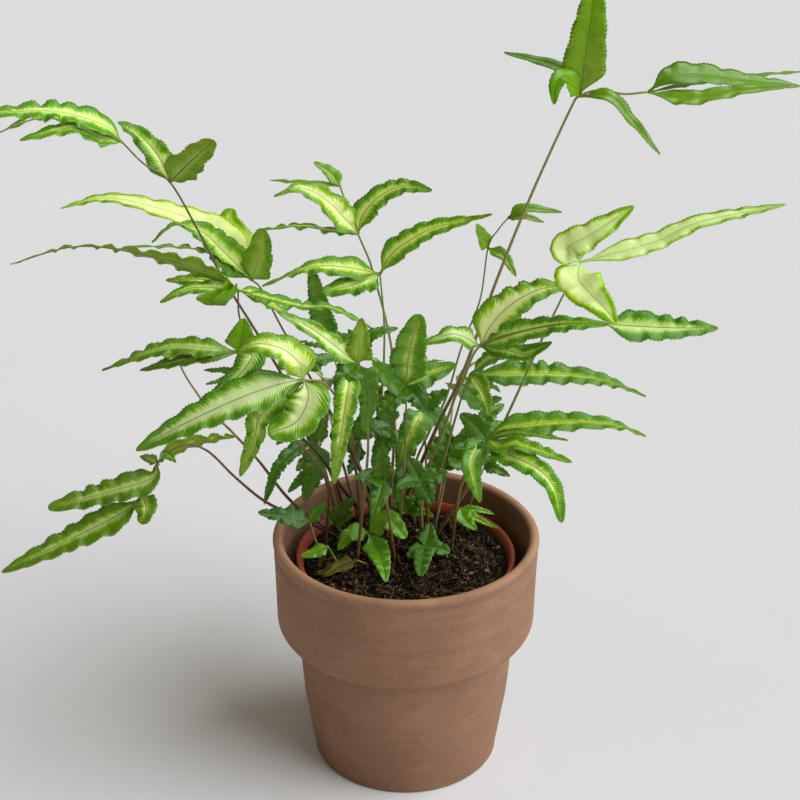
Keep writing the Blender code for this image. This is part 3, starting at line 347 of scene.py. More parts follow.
        Leaflet(0, [(40, -60, 20), (49, -64, 14)], 5)], THIN_STALK_R, FRESH, brown=0.1),
    Frond("frond_low_left_small", (-30, 12), [(-33, -62, 14)], [
        Leaflet(0, [(-28, -59, 12), (-23, -56, 10)], 8),
        Leaflet(0, [(-36, -57, 16), (-40, -53, 16)], 7),
        Leaflet(0, [(-28, -54, 13), (-23, -49, 12)], 10, FRONT)], THIN_STALK_R, PLAIN, brown=0.1),
    Frond("frond_rim_front_left", (-36, -9), [(-36, -73, -11)], [
        Leaflet(0, [(-42, -76, -13), (-50, -78, -14)], 8)], THIN_STALK_R, FRESH, brown=0.2),
    Frond("frond_withered", (-20, -12), [(-22, -80, -14)], [
        Leaflet(0, [(-30, -83, -18), (-38, -88, -24)], 8),
        Leaflet(0, [(-33, -84, -16), (-42, -87, -19)], 7)], THIN_STALK_R, WITHERED),
    Frond("frond_core_left", (-10, 17), [(-8, -40, 16), (-4, -13, 14)], [
        Leaflet(1, [(-12, -14, 8), (-20, -19, 4)], 14, TURNED),
        Leaflet(1, [(-8, -4, 14), (-13, 3, 12)], 12, FRONT),
        Leaflet(1, [(-9, -24, 8), (-14, -33, 4)], 12, TURNED)], tone=PLAIN),
    Frond("frond_core_right", (12, 24), [(13, -45, 26), (13, -30, 30), (12, -4, 28)], [
        Leaflet(2, [(8, -12, 18), (2, -25, 13), (-1, -34, 12)], 16, FRONT, tone=NARROW),
        Leaflet(2, [(18, 1, 30), (24, 5, 32)], 11),
        Leaflet(2, [(8, 5, 30), (3, 11, 32)], 11, FRONT),
        Leaflet(2, [(19, -9, 32), (26, -17, 34)], 12, TURNED)], tone=PLAIN),
    Frond("frond_core_low", (9, 9), [(10, -40, 4)], [
        Leaflet(0, [(13, -46, 2), (16, -52, 0)], 12, FRONT),
        Leaflet(0, [(4, -41, -2), (-2, -44, -6)], 11),
        Leaflet(0, [(17, -38, 6), (24, -36, 8)], 12, FRONT),
        Leaflet(0, [(7, -34, 7), (3, -28, 8)], 11, FRONT)], tone=PLAIN, brown=0.3),
    Frond("frond_core_low_right", (16, 29), [(22, -42, 32), (24, -28, 34)], [
        Leaflet(1, [(31, -21, 34), (35, -12, 32)], 12, FRONT),
        Leaflet(1, [(31, -32, 30), (38, -36, 28)], 11),
        Leaflet(1, [(18, -34, 32), (13, -41, 30)], 11, TURNED),
        Leaflet(1, [(23, -19, 38), (20, -11, 40)], 11, FRONT)], tone=PLAIN, brown=0.3),
    Frond("frond_core_back", (5, 40), [(4, -44, 42)], [
        Leaflet(0, [(-4, -41, 46), (-11, -41, 48)], 11),
        Leaflet(0, [(1, -33, 48), (-1, -26, 52)], 11, FRONT)], THIN_STALK_R, PLAIN),
    Frond("frond_core_back_left", (-18, 40), [(-20, -38, 44), (-20, -20, 46)], [
        Leaflet(1, [(-28, -20, 48), (-34, -25, 50)], 12),
        Leaflet(1, [(-18, -11, 48), (-14, -3, 50)], 12, FRONT),
        Leaflet(1, [(-22, -28, 50), (-26, -37, 54)], 11)], THIN_STALK_R, PLAIN),
    Frond("frond_core_front_left", (-6, -4), [(-8, -40, -16)], [
        Leaflet(0, [(-16, -38, -20), (-23, -39, -22)], 11),
        Leaflet(0, [(-11, -50, -24), (-14, -58, -28)], 11, FRONT),
        Leaflet(0, [(-9, -31, -20), (-8, -22, -24)], 11, FRONT)], tone=PLAIN),
    Frond("frond_back_left", (-26, 39), [(-34, -12, 62), (-38, 10, 92)], [
        Leaflet(0, [(-28, -19, 62), (-23, -27, 60)], 12, FRONT, tone=PLAIN),
        Leaflet(1, [(-52, 8, 108), (-62, 0, 118)], 13, BACK),
        Leaflet(1, [(-40, 6, 115), (-42, 0, 138)], 14, LEVEL),
        Leaflet(1, [(-28, 10, 112), (-22, 6, 128)], 13, BACK),
        Leaflet(1, [(-45, 17, 98), (-53, 20, 104)], 11, BACK)], tone=NARROW),
    Frond("frond_back_middle", (0, 47), [(-2, -15, 72), (-4, 12, 100)], [
        Leaflet(0, [(-8, -21, 70), (-14, -26, 68)], 12, FRONT, tone=PLAIN),
        Leaflet(0, [(4, -21, 72), (7, -28, 72)], 12, FRONT, tone=PLAIN),
        Leaflet(1, [(-12, 14, 120), (-16, 8, 145)], 14, LEVEL),
        Leaflet(1, [(4, 14, 122), (8, 8, 148)], 14, LEVEL),
        Leaflet(1, [(8, 18, 108), (22, 20, 118)], 13, BACK),
        Leaflet(1, [(-14, 20, 106), (-26, 24, 116)], 13, BACK)]),
    Frond("frond_back_right", (17, 44), [(24, -20, 68), (28, 8, 90)], [
        Leaflet(0, [(18, -25, 66), (12, -29, 64)], 12, FRONT, tone=PLAIN),
        Leaflet(0, [(30, -26, 70), (36, -31, 72)], 12, TURNED, tone=PLAIN),
        Leaflet(1, [(40, 10, 104), (50, 4, 114)], 13, BACK),
        Leaflet(1, [(30, 6, 114), (32, 0, 134)], 14, LEVEL),
        Leaflet(1, [(34, 16, 92), (42, 22, 96)], 11, BACK)], tone=NARROW),
    Frond("frond_side_right", (26, 41), [(36, -24, 44), (40, -12, 66)], [
        Leaflet(0, [(29, -29, 48), (24, -35, 50)], 11, FRONT),
        Leaflet(1, [(50, -14, 76), (60, -20, 84)], 12),
        Leaflet(1, [(42, -18, 84), (44, -26, 98)], 12, LEVEL),
        Leaflet(1, [(46, -6, 70), (52, -2, 76)], 10)], tone=PLAIN),
    Frond("frond_side_left", (-36, 30), [(-40, -24, 44), (-42, -14, 66)], [
        Leaflet(0, [(-46, -29, 50), (-52, -35, 54)], 11, TURNED),
        Leaflet(1, [(-52, -14, 74), (-62, -22, 80)], 12),
        Leaflet(1, [(-42, -20, 84), (-44, -28, 98)], 12, LEVEL),
        Leaflet(1, [(-46, -6, 72), (-50, -2, 80)], 10)], tone=PLAIN),
]


def srgb(red: float, green: float, blue: float) -> Colour:
    """A colour given as the eye reads it on a screen, from 0 to 255, in the shader's linear values."""
    return tuple((c / 255.0) ** 2.2 for c in (red, green, blue))


@dataclass(frozen=True)
class Sight:
    """The viewer's place, and the sheet that the fronds are drawn on.

    The sheet stands square to the sight line through the plant's middle. A point on it is (right,
    up, depth) in mm, where depth is the Y that the point is pushed to along its own sight line.
    """

    tilt: float = math.radians(26.7)
    distance: float = 944.4
    middle: Point = (-3.0, 0.0, 207.0)
    lens: float = 85.0
    sensor: float = 36.0

    @property
    def eye(self) -> Vector:
        """The viewer's eye, in mm."""
        back = Vector((0.0, math.cos(self.tilt), -math.sin(self.tilt)))
        return Vector(self.middle) - self.distance * back

    def seen(self, point: Point) -> Vector:
        """The place in space, in mm, of a point of the sheet.

        Args:
            point: right, up and depth on the sheet.

        Returns:
            The point pushed along its sight line to its depth.
        """
        right, up, depth = point
        raised = Vector((0.0, math.sin(self.tilt), math.cos(self.tilt)))
        on_sheet = Vector(self.middle) + Vector((right, 0.0, 0.0)) + up * raised
        reach = (depth - self.eye.y) / (on_sheet.y - self.eye.y)
        return self.eye + (on_sheet - self.eye) * reach


SIGHT = Sight()


def through(points: Sequence[Vector], steps: Sequence[int]) -> list[Vector]:
    """A smooth curve through the points.

    Args:
        points: the points that the curve passes.
        steps: how many steps there are from each point to the next.

    Returns:
        The points of the curve.
    """
    ends = [2 * points[0] - points[1], *points, 2 * points[-1] - points[-2]]
    line = []
    for i, count in enumerate(steps):
        a, b, c, d = ends[i:i + 4]
        for k in range(count):
            t = k / count
            line.append(0.5 * ((2 * b) + (c - a) * t + (2 * a - 5 * b + 4 * c - d) * t * t
                               + (3 * b - a - 3 * c + d) * t ** 3))
    return line + [points[-1]]


def evenly(points: Sequence[Vector], count: int) -> list[Vector]:
    """Points evenly spaced along a smooth curve.

    Args:
        points: the points that the curve passes.
        count: how many equal runs it is split into.

    Returns:
        count + 1 points.
    """
    fine = through(points, [24] * (len(points) - 1))
    lengths = [0.0]
    for first, second in zip(fine, fine[1:]):
        lengths.append(lengths[-1] + (second - first).length)
    line = []
    k = 0
    for i in range(count + 1):
        goal = lengths[-1] * i / count
        while k < len(fine) - 2 and lengths[k + 1] < goal:
            k += 1
        line.append(fine[k].lerp(fine[k + 1], (goal - lengths[k]) / (lengths[k + 1] - lengths[k])))
    return line


def line_length(points: Sequence[Vector]) -> float:
    """Length of the straight runs between the points."""
    return sum((second - first).length for first, second in zip(points, points[1:]))


def smooth_step(value: float) -> float:
    """An even rise from 0 to 1 as value goes from 0 to 1."""
    value = min(max(value, 0.0), 1.0)
    return value * value * (3.0 - 2.0 * value)


def direction(line: Sequence[Vector], i: int) -> Vector:
    """The way that a line runs at its i-th point."""
    return (line[min(i + 1, len(line) - 1)] - line[max(i - 1, 0)]).normalized()


def to_mesh(name: str, bm: Shape) -> bpy.types.Mesh:
    """A mesh of a bmesh, which is freed here."""
    mesh = bpy.data.meshes.new(name)
    bm.to_mesh(mesh)
    bm.free()
    return mesh


def add_object(name: str, data: bpy.types.ID) -> Item:
    """An object of a mesh, a light or a camera, linked to the scene."""
    obj = bpy.data.objects.new(name, data)
    bpy.context.scene.collection.objects.link(obj)
    return obj


def add_piece(name: str, bm: Shape, materials: Sequence[Material]) -> Item:
    """Make an object of a bmesh and let it ride on the part.

    Args:
        name: the piece's name.
        bm: its shape, which is freed here.
        materials: its materials, in slot order.

    Returns:
        The object.
    """
    mesh = to_mesh(name, bm)
    for material in materials:
        mesh.materials.append(material)
    mesh.shade_smooth()
    obj = add_object(name, mesh)
    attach(obj, "root")
    LOG.info("%s: %d faces", name, len(mesh.polygons))
    return obj


def merge(target: Shape, part: Shape) -> None:
    """Add a bmesh's shape to another and free it."""
    mesh = to_mesh("part", part)
    target.from_mesh(mesh)
    bpy.data.meshes.remove(mesh)


def give_slot(faces: Iterable[bmesh.types.BMFace], slot: int) -> None:
    """Give faces their material slot."""
    for face in faces:
        face.material_index = slot


# The way that a tube's first side is turned from.
TUBE_GUIDE = Vector((0.31, 0.87, 0.23))
# How close the points of a tube and of a turned solid are taken as one, in mm.
TUBE_WELD = 0.001
SPIN_WELD = 0.01


def tube(line: Sequence[Vector], radius: Callable[[float], float], sides: int, slot: int,
         shade: float = 0.0) -> Shape:
    """A closed round tube along a line.

    Args:
        line: its middle line, in mm.
        radius: the radius in mm at a place from 0, at the line's start, to 1.
        sides: how many sides it has.
        slot: its material slot.
        shade: how brown it is, from 0 to 1.

    Returns:
        The tube, with the layer "leaf" that holds (mm along, side, place, shade).
    """
    count = len(line) - 1
    length = line_length(line)
    bm = bmesh.new()
    layer = bm.verts.layers.float_color.new("leaf")
    bmesh.ops.create_grid(bm, x_segments=count, y_segments=sides, size=1.0)
    for vert in bm.verts:
        place = (vert.co.x + 1.0) / 2.0
        i = round(place * count)
        turn = math.pi * vert.co.y
        along = direction(line, i)
        first = along.cross(TUBE_GUIDE).normalized()
        second = along.cross(first)
        out = first * math.cos(turn) + second * math.sin(turn)
        vert[layer] = (length * place, 0.5, place, shade)
        vert.co = (line[i] + out * radius(place)) * MM
    bmesh.ops.remove_doubles(bm, verts=bm.verts, dist=TUBE_WELD * MM)
    bmesh.ops.holes_fill(bm, edges=bm.edges, sides=sides)
    bmesh.ops.recalc_face_normals(bm, faces=bm.faces)
    give_slot(bm.faces, slot)
    return bm


def leaf_layers(bm: Shape) -> tuple[bmesh.types.BMLayerItem, ...]:
    """Give a shape the layers "leaf", "half" and "under", which a leaflet's pattern reads."""
    layers = bm.verts.layers
    return layers.float_color.new("leaf"), layers.float.new("half"), layers.float.new("under")


@dataclass
class Blade:
    """A leaflet's blade: a thin shell with a channelled middle, crisped edges and fine teeth.

    The layer "leaf" holds (mm along, side from 0 to 1, place from 0 to 1, the leaflet's chance), "half"
    holds half the blade's width in mm, and "under" is 1 on the lower face.

    The pitch of the waves varies from blade to blade by pitch_spread, and a blade shorter than
    least_waves of them gets short_waves. Along an edge the pitch drifts over drift_waves and the height
    swings over swing_waves.
    """

    leaflet: Leaflet
    root: Vector
    chance: random.Random
    edge: Edge
    thickness: float = 0.34
    row: float = 0.6
    least_rows: int = 12
    columns: int = 8
    root_width: float = 1.3
    tip_width: float = 0.5
    tail_width: float = 2.2
    swell: float = 0.24
    fullness: float = 1.15
    crisp: float = 0.135
    crisp_most: float = 13.0
    pitch_spread: Spot = (0.85, 1.2)
    least_waves: float = 3.0
    short_waves: float = 2.6
    drift_waves: float = 2.2
    drift: float = 0.55
    swing_waves: float = 1.6
    swing: float = 1.1
    mean_swing: float = 0.75
    overtone: float = 0.3
    fade_power: float = 0.7
    wave_power: float = 1.7
    tooth_power: int = 4
    lobe: float = 0.2
    lobe_mean: float = 0.62
    channel: float = 0.34
    droop: float = 0.2
    rib_radius: float = 0.25
    rib_tip: float = 0.10
    rib_sides: int = 5

    def width(self, place: float) -> float:
        """Width in mm at a place from 0, at the root, to 1, at the tip."""
        rise = smooth_step(place / self.swell)
        reach, power = self.leaflet.end.value
        fall = max(0.0, 1.0 - place / reach) ** power
        least = self.root_width if place < 0.5 else self.tip_width
        if place > 0.5 and reach < 1.0:
            least += (self.tail_width - self.tip_width) * min(1.0, (1.0 - place) / (1.0 - reach)) ** 0.5
        return max(self.leaflet.width * self.fullness * rise * fall, least)

    def normal(self, along: Vector, place: float) -> Vector:
        """The way that the upper face looks at a place, square to the way that the blade runs."""
        start = Vector(self.leaflet.face.value)
        end = Vector((self.leaflet.tip_face or self.leaflet.face).value)
        face = start.lerp(end, place)
        return (face - face.dot(along) * along).normalized()

    def crisping(self, along: float, pitch: float, seed: float) -> Spot:
        """How a crisped edge waves and how it is lobed, never quite evenly.

        Args:
            along: mm from the root.
            pitch: mean length of a wave, in mm.
            seed: a number of the edge's own.

        Returns:
            The wave's height, from about -1 to 1, and the lobe's reach, from 0 in a notch to 1.
        """
        drift = noise.noise(Vector((along / (self.drift_waves * pitch), seed, 0.3)))
        swing = noise.noise(Vector((along / (self.swing_waves * pitch), seed, 7.7)))
        turn = math.tau * (along / pitch + self.drift * drift) + seed
        wave = math.sin(turn) + self.overtone * math.sin(2.0 * turn + 0.9)
        return wave * (self.mean_swing + self.swing * swing), abs(math.sin(turn / 2.0))

    def build(self, slot: int, rib_slot: int) -> Shape:
        """Model the blade and its midrib.

        Args:
            slot: material slot of the blade.
            rib_slot: material slot of the midrib.

        Returns:
            The closed shells of the blade and the midrib.
        """
        points = [self.root] + [SIGHT.seen(p) for p in self.leaflet.path]
        length = line_length(points)
        rows = max(self.least_rows, round(length / self.row))
        line = evenly(points, rows)
        shade = self.chance.random()
        height = self.edge.crisp * self.crisp * min(self.leaflet.width, self.crisp_most)
        phases = [self.chance.uniform(0.0, math.tau) for _ in range(2)]
        pitch = self.edge.pitch * self.chance.uniform(*self.pitch_spread)
        if length < self.least_waves * pitch:
            pitch = length / self.short_waves
        bm = bmesh.new()
        leaf, breadth, under = leaf_layers(bm)
        bmesh.ops.create_grid(bm, x_segments=rows, y_segments=self.columns, size=1.0)
        for vert in bm.verts:
            place = (vert.co.x + 1.0) / 2.0
            side = vert.co.y
            i = round(place * rows)
            along = direction(line, i)
            normal = self.normal(along, place)
            across = normal.cross(along)
            edge = abs(side)
            fade = math.sin(math.pi * place) ** self.fade_power
            wave, lobe = self.crisping(place * length, pitch, phases[0 if side < 0 else 1])
            tooth = (i % self.edge.tooth_rows) / (self.edge.tooth_rows - 1) - 0.5
            half = self.width(place) / 2.0
            half *= 1.0 + self.edge.crisp * self.lobe * (lobe - self.lobe_mean) * fade * fade
            half += self.edge.tooth * tooth * fade * edge ** self.tooth_power
            lift = half * (self.channel * edge - self.droop * edge * edge)
            lift += wave * height * fade * edge ** self.wave_power
            vert[leaf] = (length * place, (side + 1.0) / 2.0, place, shade)
            vert[breadth] = half
            vert.co = (line[i] + across * (side * half) + normal * lift) * MM
        top = set(bm.verts)
        bmesh.ops.solidify(bm, geom=bm.faces[:], thickness=self.thickness * MM)
        for vert in bm.verts:
            vert[under] = 0.0 if vert in top else 1.0
        give_slot(bm.faces, slot)
        merge(bm, self.midrib(line, rib_slot))
        return bm

    def midrib(self, line: Sequence[Vector], slot: int) -> Shape:
        """The tapered rib along the blade's middle, which stands out under it.

        Args:
            line: the blade's middle line, in mm.
            slot: material slot of the rib.

        Returns:
            A tube that lies a blade's thickness under the line.
        """
        last = len(line) - 1
        sunk = [p - self.normal(direction(line, i), i / last) * self.thickness for i, p in enumerate(line)]
        taper = self.rib_tip - self.rib_radius
        return tube(sunk[::3], lambda place: self.rib_radius + taper * place, self.rib_sides, slot)


@dataclass
class FrondModel:
    """A frond grown as one piece: its stalk and its leaflets, in the place of its plain solid."""

    frond: Frond
    materials: Sequence[Material]
    slot: str
    soil_z: float = 114.0
    crown: float = 2.0
    root_depth: float = 14.0
    collar: float = 2.5
    stalk_row: float = 3.0
    stalk_sides: int = 8
    stalk_taper: float = 0.55

    def stalk_line(self, nodes: Sequence[Vector]) -> list[Vector]:
        """The stalk's middle line, upright in its hole and then through its nodes.

        Args:
            nodes: the stalk's points above the soil, in mm.

        Returns:
            The line's points.
        """
        x, y = self.frond.foot
        foot = Vector((x, y, self.soil_z - self.root_depth))
        above = [Vector((x, y, self.soil_z + self.crown + self.collar)), *nodes]
        steps = [max(1, round((b - a).length / self.stalk_row)) for a, b in zip(above, above[1:])]
        return [foot] + through(above, steps)

    def stalk_radius(self, place: float) -> float:
        """Radius of the stalk in mm, thinner towards its tip."""
        return self.frond.radius * (1.0 - self.stalk_taper * place)

    def build(self) -> Item:
        """Model the frond.

        Returns:
            The piece that stands for the frond's solid.
        """
        chance = random.Random(self.frond.name)
        nodes = [SIGHT.seen(p) for p in self.frond.stalk]
        bm = bmesh.new()
        leaf_layers(bm)
        merge(bm, tube(self.stalk_line(nodes), self.stalk_radius, self.stalk_sides, STALK_SLOT,
                       self.frond.brown))
        for leaflet in self.frond.leaflets:
            tone = leaflet.tone or self.frond.tone
            blade = Blade(leaflet, nodes[leaflet.at], chance, EDGES[tone])
            merge(bm, blade.build(tone.value, RIB_SLOTS.get(tone, RIB_SLOT)))
        piece = add_piece(f"fine_{self.frond.name}", bm, self.materials)
        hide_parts(self.frond.name)
        return piece


class Graph:
    """Short ways to add nodes to a shader tree and to wire them."""

    def __init__(self, tree: Tree) -> None:
        """Work on a tree."""
        self.tree = tree

    def node(self, kind: str, inputs: dict | None = None, **settings: object) -> Node:
        """Add a node.

        Args:
            kind: the node's type.
            inputs: what goes into its inputs, by name or number: a socket or a value.
            settings: the node's own settings.

        Returns:
            The node.
        """
        made = self.tree.nodes.new(kind)
        for name, value in settings.items():
            setattr(made, name, value)
        for key, value in (inputs or {}).items():
            self.feed(made.inputs[key], value)
        return made

    def feed(self, socket: Socket, value: object) -> None:
        """Wire a socket into an input, or set the input's value."""
        if isinstance(value, Socket):
            self.tree.links.new(value, socket)
        elif isinstance(value, tuple) and len(value) == 3 and socket.type == "RGBA":
            socket.default_value = (*value, 1.0)
        else:
            socket.default_value = value

    def math(self, operation: str, first: object, second: object = 0.0) -> Socket:
        """A value worked out of one or two others, by the operation's name."""
        return self.node("ShaderNodeMath", {0: first, 1: second}, operation=operation).outputs[0]

    def times(self, first: object, second: object) -> Socket:
        """The product of two values."""
        return self.math("MULTIPLY", first, second)

    def plus(self, first: object, second: object) -> Socket:
        """The sum of two values."""
        return self.math("ADD", first, second)

    def minus(self, first: object, second: object) -> Socket:
        """The first value less the second."""
        return self.math("SUBTRACT", first, second)

    def step(self, value: object, low: object, high: object) -> Socket:
        """A smooth rise from 0 to 1 as value goes from low to high."""
        inputs = {"Value": value, "From Min": low, "From Max": high}
        made = self.node("ShaderNodeMapRange", inputs, interpolation_type="SMOOTHSTEP")
        return made.outputs[0]

    def span(self, value: object, low: float, high: float) -> Socket:
        """A value from 0 to 1 spread from low to high."""
        return self.node("ShaderNodeMapRange", {"Value": value, "To Min": low, "To Max": high}).outputs[0]

    def mix(self, factor: object, first: object, second: object) -> Socket:
        """A colour between two colours."""
        made = self.node("ShaderNodeMix", {0: factor, 6: first, 7: second}, data_type="RGBA")
        return made.outputs[2]

    def lay(self, below: object, above: object, mask: object, share: object) -> Socket:
        """A colour laid over another where a mask is high, up to a share."""
        return self.mix(self.times(mask, share), below, above)

    def noise(self, vector: object, scale: object, detail: float = 3.0) -> Socket:
        """Soft noise from 0 to 1."""
        inputs = {"Vector": vector, "Scale": scale, "Detail": detail, "Roughness": 0.55}
        return self.node("ShaderNodeTexNoise", inputs).outputs[0]

    def attribute(self, name: str) -> bpy.types.NodeOutputs:
        """The outputs of a layer of the mesh."""
        return self.node("ShaderNodeAttribute", attribute_name=name).outputs

    def place(self) -> Socket:
        """A point's place in its object, in metres."""
        return self.node("ShaderNodeTexCoord").outputs["Object"]

    def split(self, vector: object) -> tuple[Socket, ...]:
        """The three values of a vector."""
        return tuple(self.node("ShaderNodeSeparateXYZ", {0: vector}).outputs)

    def join(self, x: object, y: object, z: object) -> Socket:
        """A vector of three values."""
        return self.node("ShaderNodeCombineXYZ", {0: x, 1: y, 2: z}).outputs[0]

    def mottle(self, group: Tree, broad: float, fine: float, flatten: float = 1.0) -> tuple[Socket, Socket]:
        """The broad and the fine noise of the mottle group, at their scales."""
        inputs = {"Broad": broad, "Fine": fine, "Flatten": flatten}
        drawn = self.node("ShaderNodeGroup", inputs, node_tree=group).outputs
        return drawn["Mottle"], drawn["Grain"]

    def bump(self, height: object, distance: float) -> Socket:
        """A surface raised by a height from 0 to 1, where 1 stands distance mm above 0."""
        inputs = {"Height": height, "Distance": distance * MM, "Strength": 1.0}
        return self.node("ShaderNodeBump", inputs).outputs[0]


def new_group(name: str, inputs: Feeds, outputs: dict[str, str]) -> tuple[Tree, Graph, Node, Node]:
    """A shader node group with named sockets.

    Args:
        name: the group's name.
        inputs: each input's name and value. Three numbers make a colour.
        outputs: each output's name and socket type.

    Returns:
        The group, a graph on it, and its input and output nodes.
    """
    tree = bpy.data.node_groups.new(name, "ShaderNodeTree")
    for label, value in inputs.items():
        kind = "NodeSocketColor" if isinstance(value, tuple) else "NodeSocketFloat"
        socket = tree.interface.new_socket(name=label, in_out="INPUT", socket_type=kind)
        socket.default_value = (*value, 1.0) if isinstance(value, tuple) else value
    for label, kind in outputs.items():
        tree.interface.new_socket(name=label, in_out="OUTPUT", socket_type=kind)
    graph = Graph(tree)
    return tree, graph, graph.node("NodeGroupInput"), graph.node("NodeGroupOutput")


# How many mm a vein runs forward for each mm outwards, and how many mm lie between two veins.
VEIN_SLANT = 0.62
VEIN_PITCH = 1.2
# The colours that a leaflet's green leans to, the dark one also painted as shade in patches and furrows, and
# the tint where its pale band ends.
LIGHT_LEAF: Colour = (0.27, 0.58, 0.02)
DARK_LEAF: Colour = (0.0, 0.05, 0.0)
BETWEEN: Colour = (0.96, 1.05, 0.42)


def blade_group() -> Tree:
    """The pattern of a leaflet: a pale band along the rib, feathered into the green along the veins.

    Returns:
        A group that puts out Colour, Height and Roughness.
    """
    inputs = {"Band": 0.4, "Feather": 0.5, "Vein": 0.5, "Pale": (0.6, 0.7, 0.3), "Green": (0.1, 0.3, 0.02),
              "Rib": (0.2, 0.2, 0.05), "Lower": (0.1, 0.2, 0.04)}
    outputs = {"Colour": "NodeSocketColor", "Height": "NodeSocketFloat", "Roughness": "NodeSocketFloat"}
    tree, graph, given, out = new_group("leaflet pattern", inputs, outputs)
    value = given.outputs
    leaf = graph.attribute("leaf")
    along, width, place = graph.split(leaf["Vector"])
    chance = leaf["Alpha"]
    under = graph.attribute("under")["Fac"]
    edge = graph.math("ABSOLUTE", graph.minus(graph.times(width, 2.0), 1.0))
    side = graph.math("SIGN", graph.minus(width, 0.5))
    across = graph.times(edge, graph.attribute("half")["Fac"])
    # The veins, and the streaks that run along them.
    vein = graph.minus(along, graph.times(across, VEIN_SLANT))
    seed = graph.plus(graph.times(chance, 61.0), graph.times(side, 7.0))
    run = graph.join(vein, seed, graph.times(edge, 0.9))
    ripple = graph.span(graph.math("SINE", graph.times(vein, math.tau / VEIN_PITCH)), 0.5, 1.0)
    comb = graph.times(graph.minus(ripple, 0.75), 0.4)
    streak = graph.plus(graph.noise(run, 1.5, 1.0), comb)
    broad = graph.noise(run, 0.16, 1.0)
    # The pale band, narrower towards the tip.
    reach = graph.times(graph.minus(streak, 0.5), value["Feather"])
    reach = graph.plus(reach, graph.times(graph.minus(broad, 0.5), 0.3))
    narrow = graph.minus(1.0, graph.math("POWER", place, 3.0))
    band = graph.plus(graph.times(value["Band"], narrow), reach)
    pale = graph.step(edge, graph.plus(band, 0.3), graph.minus(band, 0.24))
    pale = graph.times(pale, graph.step(value["Band"], 0.0, 0.1))
    # The green, lighter by patches and darker at the edge, with painted shade in dark patches and in the
    # furrows between the veins.
    wide = graph.place()
    mottle = graph.noise(wide, 90.0, 4.0)
    light_green = graph.mix(0.4, value["Green"], LIGHT_LEAF)
    dark_and_shaded_green = graph.mix(0.4, value["Green"], DARK_LEAF)
    green = graph.mix(graph.span(mottle, 0.0, 0.4), value["Green"], light_green)
    green = graph.lay(green, dark_and_shaded_green, graph.step(edge, 0.45, 1.0), 0.5)
    # Painted shade: dark patches of the mottle stand for the deep shadows among the leaves.
    green = graph.lay(green, dark_and_shaded_green, graph.step(mottle, 0.5, 0.34), 0.7)
    # Painted shade in the furrows between the veins.
    green = graph.lay(green, dark_and_shaded_green, graph.step(ripple, 0.85, 0.5), value["Vein"])
    # The colour from the green over the band to the rib and the rim, and the lower face.
    half_pale = graph.mix(0.45, value["Green"], value["Pale"])
    between = graph.node("ShaderNodeMix", {0: 1.0, 6: half_pale, 7: BETWEEN}, data_type="RGBA",
                         blend_type="MULTIPLY")
    colour = graph.mix(graph.step(pale, 0.0, 0.55), green, between.outputs[2])
    colour = graph.mix(graph.step(pale, 0.4, 1.0), colour, value["Pale"])
    rib_line = graph.step(across, 0.36, 0.1)
    colour = graph.lay(colour, value["Rib"], rib_line, 0.6)
    colour = graph.lay(colour, value["Pale"], graph.step(edge, 0.94, 0.99), 0.25)
    lower = graph.lay(value["Lower"], value["Pale"], pale, 0.45)
    colour = graph.mix(under, colour, lower)
    lightness = graph.span(graph.noise(graph.join(chance, 0.37, 0.11), 5.0, 0.0), 0.76, 1.46)
    tint = graph.node("ShaderNodeHueSaturation", {
        "Hue": graph.span(chance, 0.483, 0.5), "Saturation": graph.span(chance, 1.18, 1.06),
        "Value": lightness, "Color": colour})
    # The relief and the gloss.
    ridges = graph.times(graph.times(ripple, value["Vein"]), graph.step(edge, 0.05, 0.3))
    height = graph.plus(ridges, graph.times(rib_line, -0.8))
    height = graph.plus(height, graph.times(graph.noise(wide, 700.0, 2.0), 0.35))
    rough = graph.plus(graph.span(mottle, 0.16, 0.34), graph.times(under, 0.25))
    graph.feed(out.inputs["Colour"], tint.outputs[0])
    graph.feed(out.inputs["Height"], height)
    graph.feed(out.inputs["Roughness"], rough)
    return tree


def mottle_group() -> Tree:
    """Broad and fine noise in one value, for fired clay, plastic, peat and the floor.

    Returns:
        A group that puts out Mottle and Grain, each from 0 to 1.
    """
    inputs = {"Broad": 30.0, "Fine": 900.0, "Flatten": 1.0}
    outputs = {"Mottle": "NodeSocketFloat", "Grain": "NodeSocketFloat"}
    tree, graph, given, out = new_group("mottle", inputs, outputs)
    value = given.outputs
    wide = graph.place()
    x, y, z = graph.split(wide)
    place = graph.join(x, y, graph.times(z, value["Flatten"]))
    graph.feed(out.inputs["Mottle"], graph.noise(place, value["Broad"], 5.0))
    graph.feed(out.inputs["Grain"], graph.noise(wide, value["Fine"], 3.0))
    return tree


class Finish:
    """A surface's finish. Each kind says in paint what its shader is fed with."""

    name: str

    def paint(self, graph: Graph, group: Tree | None) -> Feeds:
        """What goes into the shader, by the names of its sockets."""
        raise NotImplementedError

    def material(self, group: Tree | None = None) -> Material:
        """The finish as a material.

        Args:
            group: the node group that it is painted with.

        Returns:
            The material.
        """
        made = bpy.data.materials.new(self.name)
        made.use_nodes = True
        graph = Graph(made.node_tree)
        shader = made.node_tree.nodes["Principled BSDF"]
        for key, value in self.paint(graph, group).items():
            graph.feed(shader.inputs[key], value)
        return made


